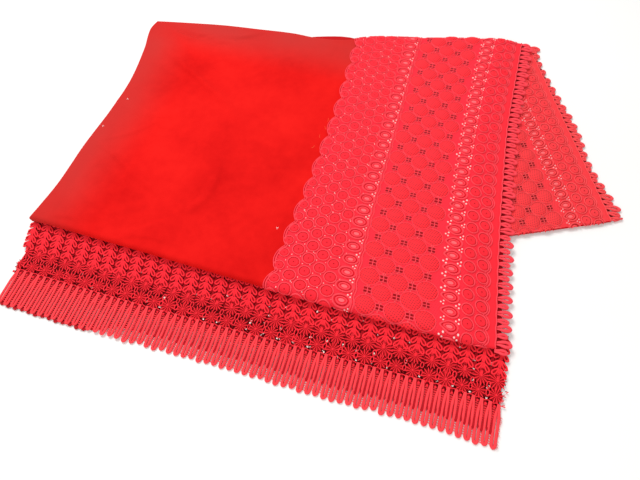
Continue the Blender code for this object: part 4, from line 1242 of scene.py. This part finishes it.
def on_flap(points, placed):
    """Lace that shows on the turned-out layer: outside the top layer's hem."""
    along = flap_along(points[:, 1])
    return ((along > FLAP_START) & (along < FLAP_LENGTH + 0.2 * FLAP_TOP)
            & (placed[:, 0] > hem_x(placed[:, 1]) - FLAP_LACE_UNDER))


def cloth_shown(points, placed):
    return placed[:, 0] > hem_x(placed[:, 1]) - FLAP_CLOTH_UNDER


def make_flap():
    """Turned-out layer: velvet, the same lace on it and loops along its hem."""
    radius = FLAP_TOP / 2
    edge = FLAP_LENGTH - radius
    along = np.concatenate((np.linspace(FLAP_START, edge, FLAP_ROWS),
                            edge + np.linspace(0.0, math.pi * radius, 11)[1:],
                            [edge + math.pi * radius + FLAP_TUCK]))
    rows = flap_row(along)[None]
    inside = np.linspace(FLAP_WIDTH, 0.0, FLAP_COLUMNS)[:, None]
    hem = np.array(FLAP_HEM)
    cloth = Gather()
    cloth.add(grid_part(HEM_COLUMN - inside, rows, 0.0),
              grid_part(HEM_COLUMN + hem[:, :1], rows, hem[:, 1:]))
    piece = cloth.build("flap_cloth", flap_place, VELVET_LOWER, "velvet_lower", cloth_shown)
    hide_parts("flap_layers")
    lace = make_lace("flap_", FLAP_RING_ROWS, False, flap_place, LACE_LOWER, "lace_lower", on_flap)
    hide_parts("flap_lace")
    loops = np.arange(0.004, FLAP_LENGTH - 0.002, FLAP_ROW_SHARE * TRIM_PITCH)
    reaches = read_table(FLAP_TRIM_REACH, loops)[0]
    trim = trim_loops(flap_row(loops), reaches, -0.0012, 0.0008, FLAP_TRIM_TURN)
    trim_piece = trim.build("flap_trim_loops", flap_place, LACE_LOWER, "lace_lower")
    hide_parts("flap_trim")
    return piece, [*lace, trim_piece]


# Border and fringe

BORDER_LEFT = -0.305
BORDER_RIGHT = 0.223
LAST_CHAIN = 0.2151
CHAIN_COUNT = 33
CHAIN_PITCH = 0.0163

# Chains from the right: a little wider apart towards the left
CHAINS = [LAST_CHAIN - k * (0.0158 + 0.0000141 * k) for k in range(CHAIN_COUNT)]
CHAIN_MIDDLES = [(left + right) / 2 for left, right in zip(CHAINS[1:], CHAINS)]
LEAF_ROWS = (-0.1918, -0.1836, -0.1754, -0.1672, -0.1590)
UPPER_FLOWERS = -0.2002
LOWER_FLOWERS = -0.2148
FRINGE_TOP = -0.2222
BORDER_LIFT = 0.0030
UNDER_LIFT = 0.0010

# How far the border's rows sway back: x, shift
BORDER_SWAY = (
    (-0.305, 0.0),
    (-0.175, 0.0),
    (-0.108, 0.0014),
    (0.050, 0.0050),
    (0.165, 0.0075),
    (0.200, 0.0068),
    (0.223, 0.0048),
)

# Tips of the fringe: x, y
FRINGE_ENDS = (
    (-0.305, -0.2625),
    (-0.180, -0.2622),
    (-0.060, -0.2590),
    (0.060, -0.2580),
    (0.165, -0.2545),
    (0.223, -0.2575),
)
FRINGE_WAVE = 0.0006
FRINGE_WAVE_TURN = 1.9

# How far the chains of leaves lean to the left above the flowers: x, share
CHAIN_LEAN = (
    (-0.305, 0.27),
    (-0.150, 0.23),
    (-0.040, 0.17),
    (0.080, 0.08),
    (0.180, 0.0),
    (0.223, 0.0),
)

# Leaves: half of the outline as shares of width and length, size, cord, and a slit of painted shade inside
LEAF_SIDE = ((0.30, -0.30), (0.50, -0.68), (0.30, -0.95))
LEAF_LENGTH, LEAF_WIDTH = 0.0090, 0.0035
LEAF_CORD = 0.00094
LEAF_SLIT = ((0.0, -0.0050), (0.0, -0.0014), (0.0010, -0.0036), (0.0013, -0.0060), (0.0, -0.0080),
             (-0.0013, -0.0060), (-0.0010, -0.0036))
LEAF_ANGLE = math.radians(38)
LEAF_ROOT = (0.0010, 0.0036)
LEAF_UNEVEN = (0.00022, 0.03)

# Stems: three cords side by side, and their half length along a leaf
STEM_CORDS = (-0.0012, 0.0, 0.0012)
STEM_RADIUS = 0.00056
STEM_HALF = 0.0043
LAST_STEM = 0.0070

# Flowers: petals, radius and half fan of each row; share of the radius and cord radius along a spoke
UPPER_FLOWER = (11, 0.0084, math.radians(150))
LOWER_FLOWER = (12, 0.0080, math.pi)
UNDER_FLOWER = (10, 0.0074, math.pi)
SPOKE_START = -0.0008
SPOKE_SHARES = (0.45, 0.80, 1.0)
SPOKE_RADII = np.array((0.00026, 0.00042, 0.00062, 0.00034))
FLOWER_KNOT = 0.0013
# Share of the radius that a disc of painted shade behind the spokes covers
FLOWER_BACK = 0.80
FLOWER_UNEVEN = (0.0004, 0.05)

# Links between flowers, and knots where the fringe hangs
LINK = (0.0016, 0.0030)
LINK_RADIUS = 0.00060
LINK_ROWS = (UPPER_FLOWERS - 0.0070, LOWER_FLOWERS + 0.0006)
ROOT_KNOT = 0.0014
ROOT_KNOTS = FRINGE_TOP - 0.0026
LINK_UNEVEN = (0.0003, 0.08)
EDGE_CORD = 0.00055
EDGE_WAVE = 0.0007


def border_place(across, along, lift):
    """Places on the border, whose rows sway and whose chains lean to the left."""
    lean = read_table(CHAIN_LEAN, across)[0] * np.maximum(along - UPPER_FLOWERS, 0.0)
    sway = read_table(BORDER_SWAY, across)[0]
    return flat_place(across - lean, along + sway, lift)


def leaf_motif(lift):
    """Pair of thick looped leaves with a slit of painted shade inside, on a stem of three cords."""
    half = [(wide * LEAF_WIDTH, along * LEAF_LENGTH) for wide, along in LEAF_SIDE]
    outline = [(0.0, 0.0), *half, (0.0, -LEAF_LENGTH), *((-wide, along) for wide, along in half[::-1])]
    leaf = tube(smooth_path(outline, 3, closed=True), LEAF_CORD, lift, closed=True)
    slit = np.column_stack((LEAF_SLIT, np.full(len(LEAF_SLIT), lift + 0.0001)))
    rim = np.arange(1, len(LEAF_SLIT))
    faces = np.column_stack((np.zeros_like(rim), rim, np.roll(rim, -1)))
    across, along = LEAF_ROOT
    parts = [moved(part, side * across, along, angle=side * LEAF_ANGLE)
             for side in (-1, 1) for part in (leaf, (slit, faces, GROOVE_SHADE, slit[:, :2].copy()))]
    parts += [tube(((cord, STEM_HALF), (0.7 * cord, 0.0), (cord, -STEM_HALF)), STEM_RADIUS,
                   lift + 0.0002, sides=4) for cord in STEM_CORDS]
    return parts


def flower_motif(lift, petals, radius, spread):
    """Many-petalled daisy: thin spokes of cord round a raised bright knot; spread is its half fan."""
    # Disc of painted shade behind the spokes
    back = turned(((0.0, -0.0003), (FLOWER_BACK * radius, -0.0004)), 12, GROOVE_SHADE, lift=lift)
    path = [(0.0, SPOKE_START)] + [(0.0, -share * radius) for share in SPOKE_SHARES]
    spoke = tube(path, SPOKE_RADII, lift, sides=5)
    turns = [spread * (2 * (petal + 0.5) / petals - 1) for petal in range(petals)]
    return [knot(FLOWER_KNOT, lift + 0.0009, CORD), back,
            *(moved(spoke, 0.0, 0.0, angle=turn) for turn in turns)]


def in_border(points, placed):
    """What stays between the border's cut ends, which are ragged on the left."""
    ragged = 0.001 + 0.0055 * (points[:, 1] > UPPER_FLOWERS + 0.004)
    return (points[:, 0] > BORDER_LEFT - ragged) & (points[:, 0] < BORDER_RIGHT)


def make_border():
    border = Gather()
    for row in LEAF_ROWS:
        border.repeat(leaf_motif(BORDER_LIFT), [(x, row) for x in CHAINS], *LEAF_UNEVEN)
    stems = [tube(((cord, LAST_STEM), (0.5 * cord, 0.0)), STEM_RADIUS, BORDER_LIFT + 0.0002, sides=4)
             for cord in STEM_CORDS]
    border.repeat(stems, [(x, UPPER_FLOWERS) for x in CHAINS])
    for row, flower, raised in ((UPPER_FLOWERS, UPPER_FLOWER, 0.0), (LOWER_FLOWERS, LOWER_FLOWER, 0.0002)):
        motif = flower_motif(BORDER_LIFT + raised, *flower)
        border.repeat(motif, [(x, row) for x in CHAINS], *FLOWER_UNEVEN)
    link = tube(oval_path(*LINK, count=14), LINK_RADIUS, BORDER_LIFT, closed=True, sides=4)
    for row in LINK_ROWS:
        border.repeat([link], [(x, row) for x in CHAIN_MIDDLES], *LINK_UNEVEN)
    border.repeat([knot(ROOT_KNOT, BORDER_LIFT + 0.0002, CORD)],
                  [(x, ROOT_KNOTS) for x in CHAIN_MIDDLES + CHAINS], *LINK_UNEVEN)
    line = np.linspace(BORDER_LEFT + 0.001, BORDER_RIGHT - 0.001, 260)
    wave = EDGE_WAVE * np.sin(2 * np.pi * (line - LAST_CHAIN) / (CHAIN_PITCH / 2))
    edge = np.stack((line, FRINGE_TOP + 0.0010 + wave), 1)
    border.add(tube(edge, EDGE_CORD, BORDER_LIFT - 0.0004, sides=4))
    piece = border.build("border_leaves", border_place, BORDER, "fringe", in_border)
    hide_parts("border_lace")
    return piece


# Half of a finger: share of its half width, share of its length; its root is narrow
FINGER_HALF = 0.00182
FINGER_ROOT = (0.30, 0.0014)
FINGER_SIDE = ((0.50, 0.08), (0.86, 0.26), (1.0, 0.45), (0.98, 0.80), (0.88, 0.955), (0.50, 0.990))
FINGER_RADIUS = 0.00100
FINGER_SWELL = 0.00048
FINGER_SWELL_RUN = 3.4
FINGER_FALL_RUN = 1.6
FINGER_FLATNESS = 0.64
FINGER_TIP = 0.0015
FINGER_LENGTH_UNEVEN = 0.0004
FINGER_PLACE_UNEVEN = 0.0001

# How far the fingers' tips hang below their roots: least, how much more, and where that starts
FRINGE_FALL = (0.0002, 0.0014)
FRINGE_FALL_START = -0.165
FRINGE_FALL_RUN = 0.030

# Short rungs of thread between two fingers
RUNG_START = 0.0030
RUNG_PITCH = 0.0021
RUNG_SIDE = 0.0025
RUNG_DROP = 0.0009
RUNG_RADIUS = 0.00042


def fringe_end(x):
    """Plan y of the fringe's tips."""
    wave = FRINGE_WAVE * np.sin(FRINGE_WAVE_TURN * (x - BORDER_LEFT) / (CHAIN_PITCH / 2))
    return float(read_table(FRINGE_ENDS, x)[0] + wave)


def fringe_reach(x):
    """Length from the fingers' roots to the fringe's tips."""
    return FRINGE_TOP + float(read_table(BORDER_SWAY, x)[0]) - fringe_end(x)


def finger_part(length, lift, fall):
    """Long loop of two thick cords side by side: one narrow root, then it hangs towards -Y."""
    side = [FINGER_ROOT] + [(wide, -share * length) for wide, share in FINGER_SIDE]
    points = [(-FINGER_HALF * wide, along) for wide, along in side] + [(0.0, -length)]
    points += [(FINGER_HALF * wide, along) for wide, along in side[::-1]]
    path = smooth_path(points, 4)
    reach = np.clip(-path[:, 1] / length, 0.0, 1.0)
    radius = FINGER_RADIUS + FINGER_SWELL * smooth_step(FINGER_SWELL_RUN * reach)
    lifts = lift - fall * smooth_step(FINGER_FALL_RUN * reach)
    return tube(path, radius, lifts, sides=8, whole=True, flat=FINGER_FLATNESS)


def finger_places():
    """Middles of the fringe's fingers, two to each chain, from right to left."""
    pitches = [right - left for left, right in zip(CHAINS[1:], CHAINS)]
    pitches.append(pitches[-1])
    middles = [x + side * pitch / 4 for x, pitch in zip(CHAINS, pitches) for side in (1, -1)]
    return [x for x in middles if x > BORDER_LEFT]


def make_fringe():
    fringe = Gather()
    rung_line = ((0.0, 0.0), (CHAIN_PITCH / 2 - 2 * RUNG_SIDE, 0.0))
    for k, x in enumerate(finger_places()):
        length = fringe_reach(x) + RANDOM.normal(0.0, FINGER_LENGTH_UNEVEN) - FINGER_TIP
        start = float(smooth_step((x - FRINGE_FALL_START) / FRINGE_FALL_RUN))
        fall = FRINGE_FALL[0] + FRINGE_FALL[1] * start
        finger = finger_part(length, BORDER_LIFT - 0.0002, fall)
        fringe.add(moved(finger, x + RANDOM.normal(0.0, FINGER_PLACE_UNEVEN), FRINGE_TOP))
        if k == 0:
            continue
        for gone in np.arange(RUNG_START, length - RUNG_START, RUNG_PITCH):
            lift = BORDER_LIFT - 0.0006 - fall * float(smooth_step(FINGER_FALL_RUN * gone / length))
            rung = tube(rung_line, RUNG_RADIUS, lift, sides=4)
            fringe.add(moved(rung, x + RUNG_SIDE, FRINGE_TOP - gone - RUNG_DROP))
    piece = fringe.build("fringe_loops", border_place, FRINGE, "fringe")
    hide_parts("loop_fringe")
    return piece


# Painted glints, pale patches for the floor seen through the holes: y, chance at the left, how much more
# at the right
GLINTS = (
    (LOWER_FLOWERS - 0.0035, 0.15, 0.75),
    (0.5 * (UPPER_FLOWERS + LOWER_FLOWERS), 0.10, 0.35),
)
LEAF_GLINTS = (-0.0030, 0.12, 0.45)
GLINT_START, GLINT_RUN = -0.20, 0.22
LEAF_GLINT_START, LEAF_GLINT_RUN = -0.160, 0.030
GLINT_SIZES = (1.0, 0.55, 0.4)
GLINT_RADIUS = 0.0013
GLINT_LIFT = 0.0021
GLINT_SPREAD = (0.0009, 0.0012)

# Second layer of the border: shift in chain pitches, further shifts of its leaves and flowers
UNDER_SHIFT = 0.45
UNDER_LEAF_DROP = 0.003
UNDER_FLOWER_SHIFT = 0.006
UNDER_LEAF_UNEVEN = (0.0003, 0.04)
UNDER_FLOWER_UNEVEN = (0.0003, 0.05)
UNDER_SHEET_BACK = -0.152
UNDER_SHEET_LIFT = 0.0005


def glint_places():
    """Where the painted glints, for the floor seen through the holes, go: x, y and how often."""
    places = []
    for x in CHAIN_MIDDLES:
        right_share = float(smooth_step((x - GLINT_START) / GLINT_RUN))
        places += [(x, y, chance + more * right_share) for y, chance, more in GLINTS]
        drop, chance, more = LEAF_GLINTS
        for row in LEAF_ROWS[:4]:
            near_front = float(smooth_step((LEAF_GLINT_START - row) / LEAF_GLINT_RUN))
            places.append((x, row + drop, (chance + more * right_share) * near_front))
    return places


def make_under_border():
    """Second layer of the border: painted darker as shade under the first, a little to one side, seen
    through it.
    """
    places = [x - UNDER_SHIFT * CHAIN_PITCH for x in CHAINS[:-1]]
    under = Gather()
    for row in LEAF_ROWS:
        under.repeat(leaf_motif(UNDER_LIFT), [(x, row - UNDER_LEAF_DROP) for x in places],
                     *UNDER_LEAF_UNEVEN)
    flower = flower_motif(UNDER_LIFT, *UNDER_FLOWER)
    for shift, row in ((0.0, UPPER_FLOWERS), (UNDER_FLOWER_SHIFT, LOWER_FLOWERS)):
        under.repeat(flower, [(x - shift, row) for x in places], *UNDER_FLOWER_UNEVEN)
    # Sheet for the layers beneath, painted dark as their shade, where the gaps between the leaves look
    # dark
    line = np.linspace(BORDER_LEFT - 0.001, BORDER_RIGHT - 0.003, 120)[:, None]
    rows = np.array((FRINGE_TOP - 0.004, UPPER_FLOWERS, UNDER_SHEET_BACK))[None]
    under.add(grid_part(line, rows, UNDER_SHEET_LIFT, GROOVE_SHADE))
    # Painted glints: small pale patches in the border
    profile = ((0.0, 0.0), (GLINT_RADIUS, 0.0))
    for x, y, chance in glint_places():
        if RANDOM.random() < chance:
            for size in GLINT_SIZES[:RANDOM.integers(1, len(GLINT_SIZES) + 1)]:
                glint = turned(profile, 6, PAINTED_GLINT, RANDOM.uniform(0.4, 0.9), GLINT_LIFT)
                near_x = x + RANDOM.normal(0.0, GLINT_SPREAD[0])
                near_y = y + RANDOM.normal(0.0, GLINT_SPREAD[1])
                under.add(moved(glint, near_x, near_y, angle=RANDOM.uniform(0.0, 3.0), size=size))
    piece = under.build("under_border_lace", border_place, SHADED_UNDER, "lace_lower")
    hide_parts("under_border")
    return piece


# Loops of the second layer: shift in chain pitches, lift, how much shorter, and where they show
UNDER_FRINGE_SHIFT = 0.30
UNDER_FRINGE_LIFT = 0.0011
UNDER_FRINGE_SHORT = 0.0140
UNDER_FRINGE_SHOWN = -0.160
UNDER_FRINGE_RUN = 0.040


def make_under_fringe():
    """Loops of the second layer: longer than the first at the left end, else hidden by them."""
    under = Gather()
    for x in finger_places():
        x = x - UNDER_FRINGE_SHIFT * CHAIN_PITCH
        if x < BORDER_LEFT + 0.003:
            continue
        shown = float(smooth_step((UNDER_FRINGE_SHOWN - x) / UNDER_FRINGE_RUN))
        length = fringe_reach(x) - UNDER_FRINGE_SHORT + shown * (UNDER_FRINGE_SHORT - 0.0002)
        under.add(moved(finger_part(length, UNDER_FRINGE_LIFT, 0.0), x, FRINGE_TOP))
    # Colours painted darker as shade under the first layer
    piece = under.build("under_fringe_loops", border_place, SHADED_UNDER, "lace_lower")
    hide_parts("under_fringe")
    return piece


# Loose threads: frayed cord ends, fuzz and lint

FRAYED_ENDS = (
    # x, y, turn from +X in degrees
    (0.2205, -0.1929, 12.0),
    (0.2202, -0.1962, -8.0),
    (0.2232, -0.2019, -20.0),
    (0.2214, -0.2073, 10.0),
    (0.2200, -0.2113, -15.0),
    (0.2220, -0.2168, 5.0),
)
FRAYED_LENGTH = 0.0034
FRAYED_SPREAD = (-0.35, 0.0, 0.35)
FRAYED_RADIUS = 0.00032
FUZZ_X = 0.2218
FUZZ_RANGE = (-0.2555, -0.2260)
FUZZ_COUNT = 46
FUZZ_LENGTHS = (0.0012, 0.0026)
FUZZ_RADIUS = 0.00012
LINT = ((-0.2967, -0.0222), (-0.2899, 0.0269), (-0.0372, -0.1005))
LINT_THREADS = 3
LINT_FORM = (0.0016, 0.00022)
WISPS = ((-0.0368, 0.0140), (-0.0319, 0.0313), (-0.0284, 0.0453), (-0.0297, 0.0583))
WISP_TURNS = (1.2, 2.4)
WISP_FORM = (0.0050, 0.00014)
LINT_LIFT = 0.0003
FRAYED_THREAD, LINT_THREAD, WISP_THREAD = "frayed_thread", "lint", "wisp"
THREADS = {
    FRAYED_THREAD: plain_material(
        "frayed_thread", (0.80, 0.030, 0.045), (0.92, 0.060, 0.075), 300.0, 0.8, 0.1),
    LINT_THREAD: plain_material("lint", (0.95, 0.62, 0.60), (1.0, 0.80, 0.78), 300.0, 0.8, 0.1),
    WISP_THREAD: plain_material("wisp", (0.95, 0.10, 0.04), (1.0, 0.20, 0.08), 300.0, 0.7, 0.1),
}


def thread(across, along, turn, length, radius, lift, slot):
    """Fine bent thread that starts at a place and points the way it is turned."""
    bend = RANDOM.normal(0.0, 0.18) * length
    path = smooth_path(((0.0, 0.0), (0.5 * length, bend), (length, 0.4 * bend)), 4)
    return moved(tube(path, radius, lift, sides=4, slot=slot), across, along, angle=turn)


def make_frayed_ends():
    """Cut cord ends at the border's right end and fuzz on the fringe's last loop."""
    frayed = Gather()
    for x, y, turn in FRAYED_ENDS:
        for spread in FRAYED_SPREAD:
            angle = math.radians(turn) + spread + RANDOM.normal(0.0, 0.1)
            length = FRAYED_LENGTH * RANDOM.uniform(0.7, 1.0)
            frayed.add(thread(x, y, angle, length, FRAYED_RADIUS, BORDER_LIFT - 0.0003, FRAYED_THREAD))
    for y in RANDOM.uniform(*FUZZ_RANGE, FUZZ_COUNT):
        frayed.add(thread(FUZZ_X, y, RANDOM.normal(-0.3, 0.5), RANDOM.uniform(*FUZZ_LENGTHS),
                          FUZZ_RADIUS, BORDER_LIFT - 0.0006, FRAYED_THREAD))
    return frayed.build("frayed_ends", flat_place, THREADS, "fringe")


def make_lint():
    """Specks of lint on the velvet and fine wisps beside the lace's scallops."""
    lint = Gather()
    for place in LINT:
        for _ in range(LINT_THREADS):
            lint.add(thread(*place, RANDOM.uniform(0.0, 6.2), *LINT_FORM, LINT_LIFT, LINT_THREAD))
    for place in WISPS:
        lint.add(thread(*place, RANDOM.uniform(*WISP_TURNS), *WISP_FORM, LINT_LIFT, WISP_THREAD))
    return lint.build("lint", top_place, THREADS, "velvet")


# Stage, light and camera

WORLD_COLOUR = (1.0, 0.985, 0.965, 1.0)
WORLD_STRENGTH = 0.54
LIGHTS = (
    # name, place, size, power
    ("key_light", (-0.9, 0.8, 1.7), 0.9, 29.0),
    ("fill_light", (0.2, -1.3, 1.3), 1.2, 11.0),
)
FLOOR_REACH = 4.0
FLOOR_HEIGHT = -0.0002
FLOOR_PAINT = ((0.87, 0.87, 0.86), (0.89, 0.89, 0.88))


def make_floor():
    corners = [(side_x * FLOOR_REACH, side_y * FLOOR_REACH, FLOOR_HEIGHT)
               for side_x, side_y in ((-1, -1), (1, -1), (1, 1), (-1, 1))]
    mesh = bpy.data.meshes.new("floor")
    mesh.from_pydata(corners, [], [(0, 1, 2, 3)])
    floor = bpy.data.objects.new("floor", mesh)
    bpy.context.scene.collection.objects.link(floor)
    mesh.materials.append(plain_material("floor_paint", *FLOOR_PAINT, 3.0, 0.8, 0.0, 0.0))


def make_lights():
    world = bpy.data.worlds.new("studio")
    world.use_nodes = True
    background = world.node_tree.nodes["Background"]
    background.inputs["Color"].default_value = WORLD_COLOUR
    background.inputs["Strength"].default_value = WORLD_STRENGTH
    bpy.context.scene.world = world
    for name, place, size, power in LIGHTS:
        lamp = bpy.data.lights.new(name, "AREA")
        lamp.size = size
        lamp.energy = power
        light = bpy.data.objects.new(name, lamp)
        light.location = place
        light.rotation_euler = (-Vector(place)).to_track_quat("-Z", "Y").to_euler()
        bpy.context.scene.collection.objects.link(light)


def make_camera():
    lens = bpy.data.cameras.new("camera")
    lens.sensor_width = SENSOR_WIDTH
    lens.lens = LENS_PIXELS * SENSOR_WIDTH / PHOTO_WIDTH
    lens.clip_start = 0.01
    camera = bpy.data.objects.new("camera", lens)
    right = Vector((math.cos(CAMERA_TURN), math.sin(CAMERA_TURN), 0.0))
    away = Vector((-math.sin(CAMERA_TURN), math.cos(CAMERA_TURN), 0.0))
    up = Vector((0.0, 0.0, 1.0))
    forward = math.cos(CAMERA_ELEVATION) * away - math.sin(CAMERA_ELEVATION) * up
    image_up = math.sin(CAMERA_ELEVATION) * away + math.cos(CAMERA_ELEVATION) * up
    roll_cos, roll_sin = math.cos(CAMERA_ROLL), math.sin(CAMERA_ROLL)
    axis_x = roll_cos * right - roll_sin * image_up
    axis_y = roll_sin * right + roll_cos * image_up
    turn = Matrix((axis_x, axis_y, -forward)).transposed()
    camera.matrix_world = Matrix.Translation(
        Vector(CAMERA_PLACE) - Vector(OUTLINE_MIDDLE)) @ turn.to_4x4()
    bpy.context.scene.collection.objects.link(camera)
    bpy.context.scene.camera = camera


# All pieces of the shawl


def make_shawl():
    top = make_velvet_top()
    lace = make_lace_top()
    trim = make_trim_top()
    folded = make_folded_layers()
    flap, flap_lace = make_flap()
    border = [make_border(), make_fringe(), make_under_border(), make_under_fringe()]
    border.append(make_frayed_ends())
    make_lint()


bpy.context.scene.view_settings.view_transform = "Standard"
make_camera()
make_lights()
make_floor()
make_shawl()
